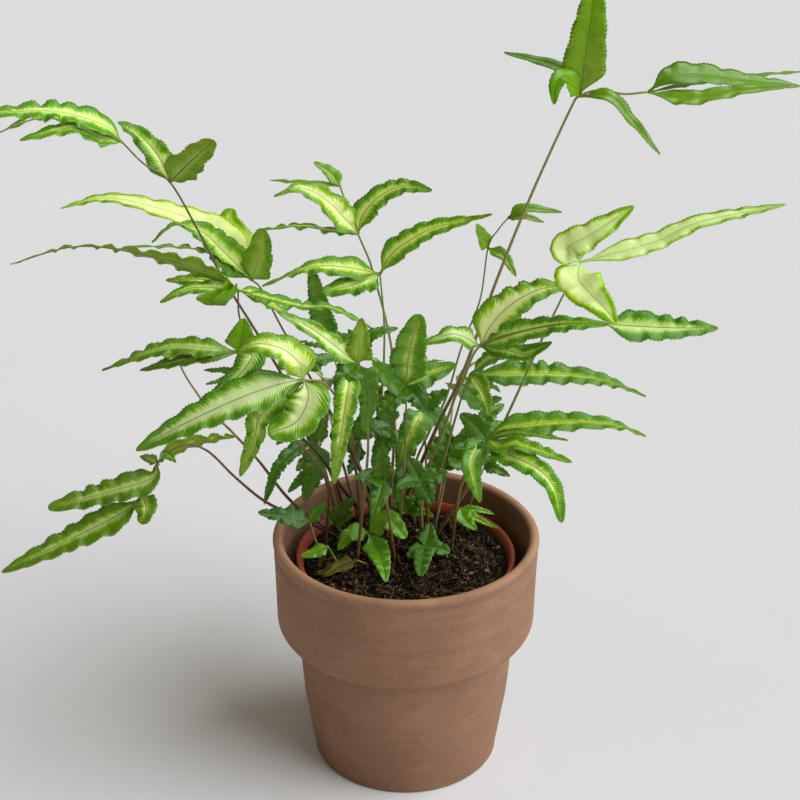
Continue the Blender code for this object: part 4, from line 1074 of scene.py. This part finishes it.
@dataclass(frozen=True)
class LeafFinish(Finish):
    """Finish of a kind of leaflet."""

    tone: Tone
    band: float
    feather: float
    pale: Colour
    green: Colour
    rib: Colour
    lower: Colour
    vein: float = 0.5
    shine: float = 0.4
    relief: float = 0.36
    glow: float = 0.1
    glow_reach: Colour = (0.45, 1.0, 0.15)

    @property
    def name(self) -> str:
        """The material's name."""
        return f"leaflet_{self.tone.name.lower()}"

    def paint(self, graph: Graph, group: Tree | None) -> Feeds:
        """A leaflet drawn by the group of the leaflets' pattern, with a little light through it."""
        given = {"Band": self.band, "Feather": self.feather, "Vein": self.vein, "Pale": self.pale,
                 "Green": self.green, "Rib": self.rib, "Lower": self.lower}
        drawn = graph.node("ShaderNodeGroup", given, node_tree=group).outputs
        return {"Specular IOR Level": self.shine, "Subsurface Weight": self.glow,
                "Subsurface Radius": self.glow_reach, "Subsurface Scale": MM, "Base Color": drawn["Colour"],
                "Roughness": drawn["Roughness"], "Normal": graph.bump(drawn["Height"], self.relief)}


@dataclass(frozen=True)
class StalkFinish(Finish):
    """Finish of the wiry stalks: green when young, then olive and brown, and darkest at the foot."""

    name: str
    green: Colour
    olive: Colour
    brown: Colour
    dark: Colour

    def paint(self, graph: Graph, group: Tree | None) -> Feeds:
        """The colours by age, which the layer "leaf" holds, with finer spots."""
        leaf = graph.attribute("leaf")
        place = graph.split(leaf["Vector"])[2]
        wide = graph.place()
        spots = graph.noise(wide, 260.0, 3.0)
        age = graph.plus(leaf["Alpha"], graph.times(place, -0.5))
        age = graph.plus(age, graph.span(spots, 0.05, 0.45))
        colour = graph.mix(graph.step(age, 0.0, 0.4), self.green, self.olive)
        colour = graph.mix(graph.step(age, 0.35, 0.7), colour, self.brown)
        colour = graph.mix(graph.step(age, 0.65, 1.0), colour, self.dark)
        return {"Specular IOR Level": 0.5, "Base Color": colour, "Roughness": graph.span(spots, 0.28, 0.6),
                "Normal": graph.bump(graph.noise(wide, 1400.0, 2.0), 0.08)}


@dataclass(frozen=True)
class ClayFinish(Finish):
    """Unglazed brown clay: throwing lines, pale bloom, dark smudges, a painted highlight on the lip's top,
    painted shade towards the foot and a sandy grain.

    lip_z and height are where the painted highlight on the lip's top starts and is full, painted_shade_z is
    how high the painted shade reaches up from the foot, and ragged is by how much the mottle moves the
    highlight's border, with its mean ragged_mean.
    """

    name: str = "clay"
    dark: Colour = srgb(140, 104, 81)
    light: Colour = srgb(155, 118, 94)
    bloom: Colour = srgb(174, 142, 120)
    # The painted highlight on the lip's top.
    lip_highlight: Colour = srgb(184, 140, 106)
    # Dark smudges and grain, and also the painted shade towards the foot.
    smudge_and_shade: Colour = srgb(104, 74, 55)
    sand: Colour = srgb(200, 172, 148)
    lip_z: float = 127.5
    height: float = 131.0
    painted_shade_z: float = 78.0
    ragged: float = 8.0
    ragged_mean: float = 4.5

    def paint(self, graph: Graph, group: Tree | None) -> Feeds:
        """The clay from three noises: its mottle and grain, its throwing lines, and its patches and sand."""
        mottle, grain = graph.mottle(group, 28.0, 1050.0)
        lines, _ = graph.mottle(group, 9.0, 320.0, 34.0)
        patches, sand = graph.mottle(group, 60.0, 1700.0, 3.0)
        z = graph.split(graph.place())[2]
        blend = graph.plus(graph.times(mottle, 0.7), graph.times(lines, 0.3))
        colour = graph.mix(graph.step(blend, 0.34, 0.66), self.dark, self.light)
        colour = graph.lay(colour, self.bloom, graph.step(patches, 0.52, 0.72), 0.18)
        colour = graph.lay(colour, self.smudge_and_shade, graph.step(patches, 0.44, 0.28), 0.2)
        colour = graph.lay(colour, self.smudge_and_shade, graph.step(grain, 0.54, 0.68), 0.42)
        colour = graph.lay(colour, self.sand, graph.step(sand, 0.54, 0.68), 0.22)
        # Painted highlight: the lip's top is made lighter, as if lit.
        highlit_lip_mask = graph.step(graph.plus(z, graph.times(mottle, self.ragged * MM)),
                          (self.lip_z + self.ragged_mean) * MM, (self.height + self.ragged_mean) * MM)
        colour = graph.lay(colour, self.lip_highlight, highlit_lip_mask, 0.7)
        # Painted shade: the clay darkens towards the foot.
        colour = graph.lay(colour, self.smudge_and_shade, graph.step(z, self.painted_shade_z * MM, 0.0), 0.35)
        height = graph.plus(graph.times(lines, 0.5), graph.times(grain, 0.5))
        return {"Specular IOR Level": 0.3, "Base Color": colour, "Roughness": graph.span(mottle, 0.72, 0.92),
                "Normal": graph.bump(height, 0.22)}


@dataclass(frozen=True)
class PlasticFinish(Finish):
    """Thin orange-red plastic, dusty where soil has touched it."""

    name: str = "nursery_plastic"
    colour: Colour = srgb(150, 62, 38)
    faded: Colour = srgb(164, 84, 58)
    dust: Colour = srgb(74, 52, 38)

    def paint(self, graph: Graph, group: Tree | None) -> Feeds:
        """The plastic, faded by the mottle and dusty by the grain."""
        mottle, grain = graph.mottle(group, 45.0, 700.0)
        colour = graph.mix(graph.step(mottle, 0.35, 0.7), self.colour, self.faded)
        colour = graph.lay(colour, self.dust, graph.step(grain, 0.58, 0.7), 0.6)
        return {"Specular IOR Level": 0.45, "Base Color": colour, "Roughness": graph.span(grain, 0.36, 0.62),
                "Normal": graph.bump(grain, 0.06)}


@dataclass(frozen=True)
class EarthFinish(Finish):
    """Peat with a little moss, its crumbs or its fibres."""

    name: str
    dark: Colour
    light: Colour
    broad: float
    fine: float
    rough: float
    mossy: float = 0.0
    moss: Colour = srgb(58, 74, 22)

    def paint(self, graph: Graph, group: Tree | None) -> Feeds:
        """The earth from dark to light, with moss where patches and fine noise are both high."""
        mottle, grain = graph.mottle(group, self.broad, self.fine)
        patches, tufts = graph.mottle(group, 70.0, 1700.0)
        shade = graph.step(graph.plus(graph.times(mottle, 0.5), graph.times(grain, 0.5)), 0.42, 0.66)
        colour = graph.mix(shade, self.dark, self.light)
        moss = graph.times(graph.step(patches, 0.5, 0.62), graph.step(tufts, 0.5, 0.62))
        return {"Specular IOR Level": 0.12, "Base Color": graph.lay(colour, self.moss, moss, self.mossy),
                "Roughness": graph.span(grain, self.rough - 0.2, self.rough),
                "Normal": graph.bump(grain, 0.6)}


@dataclass(frozen=True)
class FloorFinish(Finish):
    """A plain pale painted floor."""

    name: str = "floor"
    colour: Colour = srgb(221, 221, 223)
    shade: Colour = srgb(219, 219, 221)

    def paint(self, graph: Graph, group: Tree | None) -> Feeds:
        """The paint, a trace darker by patches, without gloss."""
        mottle, grain = graph.mottle(group, 3.0, 400.0)
        return {"Specular IOR Level": 0.0, "Roughness": graph.span(grain, 0.6, 0.8),
                "Base Color": graph.mix(graph.step(mottle, 0.3, 0.7), self.shade, self.colour)}


def arc(centre: Spot, radius: float, start: float, end: float, steps: int) -> list[Spot]:
    """Points (r, z) on an arc.

    Args:
        centre: the arc's centre.
        radius: its radius.
        start: the angle that it starts at, in degrees.
        end: the angle that it ends at.
        steps: how many runs it has.

    Returns:
        The points.
    """
    angles = [math.radians(start + (end - start) * i / steps) for i in range(steps + 1)]
    return [(centre[0] + radius * math.cos(a), centre[1] + radius * math.sin(a)) for a in angles]


def turned(profile: Sequence[Spot], sides: int) -> Shape:
    """A solid of revolution.

    Args:
        profile: (r, z) in mm, from the axis at the top down the outer side to the axis at the bottom.
        sides: how many steps the turn has.

    Returns:
        The closed shape.
    """
    bm = bmesh.new()
    verts = [bm.verts.new((r * MM, 0.0, z * MM)) for r, z in profile]
    edges = [bm.edges.new(pair) for pair in zip(verts, verts[1:])]
    bmesh.ops.spin(bm, geom=verts + edges, cent=(0, 0, 0), axis=(0, 0, 1), angle=math.tau, steps=sides,
                   use_merge=True, use_duplicate=False)
    bmesh.ops.remove_doubles(bm, verts=bm.verts, dist=SPIN_WELD * MM)
    bmesh.ops.recalc_face_normals(bm, faces=bm.faces)
    return bm


def closer(profile: Sequence[Spot], gap: float) -> list[Spot]:
    """The same outline with more points.

    Args:
        profile: the outline's points.
        gap: the longest run left, in mm.

    Returns:
        The outline with its long runs split.
    """
    fine = [profile[0]]
    for (r0, z0), (r1, z1) in zip(profile, profile[1:]):
        count = max(1, math.ceil(math.hypot(r1 - r0, z1 - z0) / gap))
        fine += [(r0 + (r1 - r0) * i / count, z0 + (z1 - z0) * i / count) for i in range(1, count + 1)]
    return fine


@dataclass
class ClayPot:
    """The outer pot: a round lip, an upright collar, a step and a tapered body.

    groove_drops are the heights of the groove's points under the lip's top.
    """

    finish: ClayFinish
    height: float = 131.0
    rim_r: float = 69.0
    lip_r: float = 63.8
    groove: float = 1.1
    groove_drops: tuple[float, float, float] = (4.2, 6.2, 7.4)
    collar_drop: float = 10.5
    lean: float = 1.5
    round_r: float = 6.5
    step_z: float = 75.0
    inner_step: float = 10.0
    inner_round_r: float = 2.0
    body: list[Spot] = field(default_factory=lambda: [
        (56.5, 73.0), (56.0, 59.0), (54.2, 37.0), (52.2, 23.0), (50.4, 11.0), (49.0, 2.4)])
    wall: float = 5.0
    floor: float = 6.0
    flat_r: float = 47.6
    foot_round_r: float = 1.5
    sides: int = 144
    run: float = 3.0
    unevenness: float = 0.28
    uneven_scale: Point = (22.0, 22.0, 30.0)

    def profile(self) -> list[Spot]:
        """The pot's outline from the middle of its floor, over the lip, to the middle of its foot."""
        inner = [(r - self.wall, z) for r, z in reversed(self.body) if z > self.floor]
        corner_r = inner[0][0] - self.inner_round_r
        half_lip = (self.rim_r - self.lip_r) / 2
        centre = (self.rim_r - self.lean - self.round_r, self.step_z + self.lean + self.round_r)
        high, deep, low = self.groove_drops
        points = [(0.0, self.floor), (corner_r, self.floor)]
        points += arc((corner_r, self.floor + self.inner_round_r), self.inner_round_r, -80.0, 0.0, 4)
        points += inner[1:]
        points += [(self.lip_r - self.lean, self.step_z + self.inner_step)]
        points += arc((self.lip_r + half_lip, self.height - half_lip), half_lip, 180.0, 0.0, 12)
        points += [(self.rim_r - self.groove / 3, self.height - high),
                   (self.rim_r - self.groove, self.height - deep),
                   (self.rim_r - self.groove, self.height - low),
                   (self.rim_r - self.lean / 3, self.height - self.collar_drop)]
        points += arc(centre, self.round_r, 0.0, -75.0, 10)
        points += [(self.body[0][0] + 0.5, self.step_z + 0.2), (self.body[0][0], self.step_z - 0.8)]
        points += self.body
        points += arc((self.flat_r, 1.6), self.foot_round_r, -20.0, -90.0, 4)
        return points + [(0.0, 0.0)]

    def uneven(self, point: Vector) -> Vector:
        """How far a point of a hand-made pot lies off the true shape, in mm."""
        slow = noise.noise(Vector([place * scale for place, scale in zip(point, self.uneven_scale)]))
        return Vector((point.x, point.y, 0.0)).normalized() * slow * self.unevenness

    def build(self, mottle: Tree) -> Item:
        """Model the pot.

        Args:
            mottle: the noise group.

        Returns:
            The piece that stands for the pot's solid.
        """
        bm = turned(closer(self.profile(), self.run), self.sides)
        for vert in bm.verts:
            vert.co += self.uneven(vert.co) * MM
        piece = add_piece("fine_clay_pot", bm, [self.finish.material(mottle)])
        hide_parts("clay_pot")
        return piece


@dataclass
class NurseryPot:
    """The thin plastic pot that holds the soil, with a rolled rim and drain holes."""

    finish: PlasticFinish
    foot_z: float = 6.3
    rim_z: float = 118.0
    rim_r: float = 57.0
    rim_deep: float = 3.0
    shoulder_z: float = 114.0
    top_r: float = 54.5
    foot_r: float = 42.0
    wall: float = 1.2
    edge: float = 0.6
    holes: int = 5
    hole_r: float = 3.5
    hole_ring_r: float = 26.0
    hole_sides: int = 20
    cut_deep: float = 8.0
    sides: int = 120
    sharp: float = 40.0

    def profile(self) -> list[Spot]:
        """The pot's outline from the middle of its floor, over the rim, to the middle of its foot."""
        floor = self.foot_z + self.wall
        rim_low = self.rim_z - self.rim_deep
        points = [(0.0, floor), (self.foot_r - self.wall, floor)]
        points += [(self.top_r - self.wall, self.shoulder_z), (self.top_r, self.rim_z - self.edge)]
        points += arc((self.top_r + self.edge * 1.6, self.rim_z - self.edge), self.edge, 140.0, 90.0, 3)
        points += arc((self.rim_r - self.edge, self.rim_z - self.edge), self.edge, 90.0, 0.0, 4)
        points += [(self.rim_r, rim_low), (self.rim_r - self.wall, rim_low)]
        points += [(self.top_r, rim_low - self.edge), (self.foot_r + self.wall, floor)]
        return points + [(self.foot_r, self.foot_z), (0.0, self.foot_z)]

    def cutter(self) -> Item:
        """The drain holes' cylinders, in one object."""
        bm = bmesh.new()
        for i in range(self.holes):
            angle = math.tau * (i + 0.5) / self.holes
            made = bmesh.ops.create_cone(bm, cap_ends=True, segments=self.hole_sides,
                                         radius1=self.hole_r * MM, radius2=self.hole_r * MM,
                                         depth=self.cut_deep * MM)
            place = Vector((math.cos(angle), math.sin(angle), 0.0)) * self.hole_ring_r
            bmesh.ops.translate(bm, verts=made["verts"], vec=(place + Vector((0.0, 0.0, self.foot_z))) * MM)
        return add_object("drains", to_mesh("drains", bm))

    def build(self, mottle: Tree) -> Item:
        """Model the pot and cut its drain holes.

        Args:
            mottle: the noise group.

        Returns:
            The piece that stands for the pot's solid.
        """
        whole = turned(self.profile(), self.sides)
        piece = add_piece("fine_nursery_pot", whole, [self.finish.material(mottle)])
        tool = self.cutter()
        cut = piece.modifiers.new("Drains", "BOOLEAN")
        cut.operation = "DIFFERENCE"
        cut.solver = "EXACT"
        cut.object = tool
        graph = bpy.context.evaluated_depsgraph_get()
        graph.update()
        mesh = bpy.data.meshes.new_from_object(piece.evaluated_get(graph))
        piece.modifiers.clear()
        piece.data = mesh
        mesh.set_sharp_from_angle(angle=math.radians(self.sharp))
        bpy.data.objects.remove(tool, do_unlink=True)
        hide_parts("nursery_pot")
        return piece


@dataclass
class Soil:
    """Peat with an uneven crumbly top, loose crumbs and fibres.

    crumb_share is the share of fine crumbs, with radii in crumb_r, and the others' radii are in lump_r.
    fibre_share is the share of pale fibres. margin and fibre_margin keep both off the pot's wall.
    """

    finishes: Sequence[EarthFinish]
    top_z: float = 114.0
    crown: float = 2.0
    edge_deep: float = 3.0
    floor_z: float = 7.8
    foot_r: float = 40.2
    top_r: float = 52.0
    sides: int = 220
    rings: int = 80
    relief: float = 2.2
    relief_scale: float = 0.24
    margin: float = 2.5
    crumbs: int = 4400
    heap: int = 80
    kinds: tuple[Earth, ...] = (Earth.CRUMB,) * 16 + (Earth.BARK,) * 5 + (Earth.GRIT,)
    crumb_r: Spot = (0.3, 0.75)
    lump_r: Spot = (0.8, 1.7)
    crumb_share: float = 0.9
    stretch: float = 1.1
    ragged: Spot = (0.6, 1.2)
    flatness: float = 0.75
    fibres: int = 1300
    fibre_length: Spot = (2.5, 10.0)
    fibre_bend: float = 1.3
    fibre_runs: int = 5
    fibre_r: Spot = (0.10, 0.22)
    fibre_sides: int = 4
    fibre_share: float = 0.4
    fibre_margin: float = 2.0
    chance: random.Random = field(default_factory=lambda: random.Random(11))

    def height(self, x: float, y: float) -> float:
        """Height of the soil's top in mm at a place in mm."""
        ring = math.hypot(x, y) / self.top_r
        bumps = noise.fractal(Vector((x, y, 3.0)) * self.relief_scale, 0.7, 2.1, 4)
        fade = smooth_step((1.0 - ring) * 12.0)
        return self.top_z + self.crown * (1.0 - ring * ring) + self.relief * bumps * fade

    def place(self) -> Spot:
        """A random place on the soil's top, in mm."""
        angle = self.chance.uniform(0.0, math.tau)
        reach = (self.top_r - self.margin) * math.sqrt(self.chance.random())
        return reach * math.cos(angle), reach * math.sin(angle)

    def crumb(self, bm: Shape) -> None:
        """Lay one loose crumb on the top."""
        x, y = self.place()
        sizes = self.crumb_r if self.chance.random() < self.crumb_share else self.lump_r
        size = self.chance.uniform(*sizes)
        heading = self.chance.uniform(0.0, math.tau)
        grain = Vector((math.cos(heading), math.sin(heading), 0.0)) * self.chance.uniform(0.0, self.stretch)
        kind = self.chance.choice(self.kinds)
        verts = bmesh.ops.create_icosphere(bm, subdivisions=1, radius=size * MM)["verts"]
        for vert in verts:
            vert.co *= self.chance.uniform(*self.ragged)
            vert.co += grain * vert.co.dot(grain)
            vert.co.z *= self.flatness
        spot = Vector((x, y, self.height(x, y) + size * 0.3)) * MM
        bmesh.ops.translate(bm, verts=verts, vec=spot)
        give_slot({face for vert in verts for face in vert.link_faces}, kind)

    def fibre(self) -> Shape:
        """One fibre lying on the top, reddish or pale."""
        x, y = self.place()
        heading = self.chance.uniform(0.0, math.tau)
        length = self.chance.uniform(*self.fibre_length)
        bend = self.chance.uniform(-self.fibre_bend, self.fibre_bend)
        most = self.top_r - self.fibre_margin
        line = []
        for i in range(self.fibre_runs + 1):
            arch = math.sin(math.pi * i / self.fibre_runs)
            line.append(Vector((x, y, self.height(x, y) + 0.25 + 0.5 * arch)))
            x += math.cos(heading) * length / self.fibre_runs
            y += math.sin(heading) * length / self.fibre_runs
            heading += bend / self.fibre_runs
            reach = math.hypot(x, y)
            if reach > most:
                x *= most / reach
                y *= most / reach
        thick = self.chance.uniform(*self.fibre_r)
        kind = Earth.FIBRE if self.chance.random() < self.fibre_share else Earth.ROOT
        return tube(line, lambda place: thick * (1.0 - 0.5 * place), self.fibre_sides, kind)

    def build(self, mottle: Tree) -> Item:
        """Model the soil.

        Args:
            mottle: the noise group.

        Returns:
            The piece that stands for the soil's solid.
        """
        profile = [(self.top_r * i / self.rings, self.top_z) for i in range(self.rings + 1)]
        profile += [(self.top_r, self.top_z - self.edge_deep), (self.foot_r, self.floor_z)]
        profile.append((0.0, self.floor_z))
        bm = turned(profile, self.sides)
        for vert in bm.verts:
            if vert.co.z > (self.top_z - 1.0) * MM:
                vert.co.z = self.height(vert.co.x / MM, vert.co.y / MM) * MM
        for _ in range(self.crumbs // self.heap):
            heap = bmesh.new()
            for _ in range(self.heap):
                self.crumb(heap)
            merge(bm, heap)
        for _ in range(self.fibres):
            merge(bm, self.fibre())
        piece = add_piece("fine_soil", bm, [finish.material(mottle) for finish in self.finishes])
        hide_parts("soil")
        return piece


@dataclass
class Studio:
    """The pale floor, the soft lights and the viewer's camera."""

    floor_side: float = 9.0
    finish: FloorFinish = FloorFinish()
    sky_light: Colour = (0.27, 0.24, 0.197)
    backdrop: Colour = srgb(216, 216, 216)

    def floor(self, mottle: Tree) -> None:
        """Lay the floor under the pot."""
        bm = bmesh.new()
        bmesh.ops.create_grid(bm, x_segments=1, y_segments=1, size=self.floor_side / 2)
        mesh = to_mesh("floor", bm)
        mesh.materials.append(self.finish.material(mottle))
        obj = add_object("floor", mesh)

    def light(self, name: str, source: Point, spread: float, strength: float, colour: Colour,
              gloss_only: bool = False) -> None:
        """Let a wide window light the plant from far away.

        Args:
            name: the light's name.
            source: the way towards it.
            spread: how wide it looks from the plant, in degrees.
            strength: its strength, in watts per square metre.
            colour: its colour.
            gloss_only: whether it is seen only in the leaves' gloss.
        """
        lamp = bpy.data.lights.new(name, "SUN")
        lamp.angle = math.radians(spread)
        lamp.energy = strength
        lamp.color = colour
        obj = add_object(name, lamp)
        obj.rotation_euler = Vector(source).to_track_quat("Z", "Y").to_euler()
        obj.visible_diffuse = not gloss_only

    def sky(self) -> None:
        """An even pale light from all round."""
        world = bpy.data.worlds.new("studio")
        world.use_nodes = True
        graph = Graph(world.node_tree)
        seen = graph.node("ShaderNodeLightPath").outputs["Is Camera Ray"]
        back = world.node_tree.nodes["Background"]
        graph.feed(back.inputs["Color"], graph.mix(seen, self.sky_light, self.backdrop))
        bpy.context.scene.world = world
        bpy.context.scene.view_settings.view_transform = "Standard"

    def camera(self) -> None:
        """Stand the camera at the viewer's place."""
        lens = bpy.data.cameras.new("viewer")
        lens.lens = SIGHT.lens
        lens.sensor_width = SIGHT.sensor
        obj = add_object("viewer", lens)
        obj.location = SIGHT.eye * MM
        obj.rotation_euler = (math.pi / 2 - SIGHT.tilt, 0.0, 0.0)
        bpy.context.scene.camera = obj

    def build(self, mottle: Tree) -> None:
        """Set up the floor, the lights and the camera."""
        self.camera()
        self.floor(mottle)
        self.sky()
        self.light("window", source=(0.715, -0.185, 0.674), spread=66.0, strength=3.65,
                   colour=(0.93, 0.965, 1.0))
        self.light("skylight", source=(0.2, 0.22, 0.95), spread=34.0, strength=1.1,
                   colour=(0.95, 0.98, 1.0), gloss_only=True)


LEAF_FINISHES = [
    LeafFinish(PALE, 0.88, 0.26, pale=srgb(216, 240, 164), green=srgb(118, 178, 30),
               rib=srgb(200, 222, 140), lower=srgb(206, 230, 144), vein=0.08),
    LeafFinish(BROAD, 0.56, 0.62, pale=srgb(218, 239, 170), green=srgb(98, 166, 4),
               rib=srgb(124, 132, 72), lower=srgb(120, 168, 40), vein=0.5, shine=0.5),
    LeafFinish(BANDED, 0.4, 0.62, pale=srgb(208, 233, 144), green=srgb(88, 156, 2),
               rib=srgb(112, 122, 54), lower=srgb(114, 160, 34), vein=0.7),
    LeafFinish(NARROW, 0.2, 0.5, pale=srgb(210, 234, 142), green=srgb(88, 156, 4),
               rib=srgb(140, 156, 54), lower=srgb(100, 150, 28), vein=0.75, shine=0.5),
    LeafFinish(DULL, 0.27, 0.5, pale=srgb(190, 212, 146), green=srgb(98, 142, 38),
               rib=srgb(104, 114, 54), lower=srgb(112, 148, 50), vein=0.6),
    LeafFinish(SOFT, 0.0, 0.3, pale=srgb(138, 182, 60), green=srgb(98, 152, 14),
               rib=srgb(120, 144, 52), lower=srgb(108, 156, 40), vein=0.2),
    LeafFinish(PLAIN, 0.0, 0.3, pale=srgb(128, 190, 36), green=srgb(58, 114, 0),
               rib=srgb(104, 150, 26), lower=srgb(70, 116, 14), vein=0.5, shine=0.5),
    LeafFinish(FRESH, 0.0, 0.3, pale=srgb(150, 206, 60), green=srgb(94, 164, 8),
               rib=srgb(124, 172, 44), lower=srgb(96, 150, 26), vein=0.25, shine=0.6),
    LeafFinish(WITHERED, 0.0, 0.3, pale=srgb(170, 146, 80), green=srgb(94, 78, 34),
               rib=srgb(80, 56, 24), lower=srgb(104, 84, 40), shine=0.2),
]
STALK = StalkFinish("stalk", green=srgb(110, 142, 42), olive=srgb(146, 136, 78), brown=srgb(108, 78, 50),
                    dark=srgb(58, 42, 30))
RIB = StalkFinish("midrib", green=srgb(120, 144, 62), olive=srgb(112, 118, 60), brown=srgb(104, 92, 56),
                  dark=srgb(84, 70, 42))
PALE_RIB = StalkFinish("pale_midrib", green=srgb(200, 220, 136), olive=srgb(190, 210, 126),
                       brown=srgb(184, 202, 122), dark=srgb(170, 182, 110))
GREEN_RIB = StalkFinish("green_midrib", green=srgb(112, 160, 40), olive=srgb(98, 146, 34),
                        brown=srgb(86, 122, 34), dark=srgb(78, 92, 36))
EARTH = [EarthFinish("peat", srgb(6, 5, 4), srgb(34, 26, 20), 180.0, 1100.0, 0.95, mossy=0.7),
         EarthFinish("peat_crumb", srgb(8, 6, 4), srgb(52, 40, 31), 420.0, 1300.0, 0.9, mossy=0.5),
         EarthFinish("peat_bark", srgb(58, 38, 27), srgb(112, 80, 58), 420.0, 1300.0, 0.9),
         EarthFinish("peat_grit", srgb(112, 92, 72), srgb(176, 156, 132), 420.0, 1300.0, 0.85),
         EarthFinish("peat_fibre", srgb(120, 96, 66), srgb(196, 170, 130), 300.0, 1200.0, 0.8),
         EarthFinish("peat_root", srgb(70, 46, 33), srgb(132, 96, 68), 300.0, 1200.0, 0.85)]


def main() -> None:
    """Build the studio and each piece, and report them."""
    logging.basicConfig(level=logging.INFO, format="%(name)s: %(message)s")
    mottle = mottle_group()
    pattern = blade_group()
    Studio().build(mottle)
    ClayPot(ClayFinish()).build(mottle)
    NurseryPot(PlasticFinish()).build(mottle)
    Soil(EARTH).build(mottle)
    materials = [finish.material(pattern) for finish in LEAF_FINISHES]
    materials += [finish.material() for finish in (STALK, RIB, PALE_RIB, GREEN_RIB)]
    for frond in FRONDS:
        slot = "fern_withered" if frond.tone is WITHERED else "fern_green"
        FrondModel(frond, materials, slot).build()


if __name__ == "__main__":
    main()
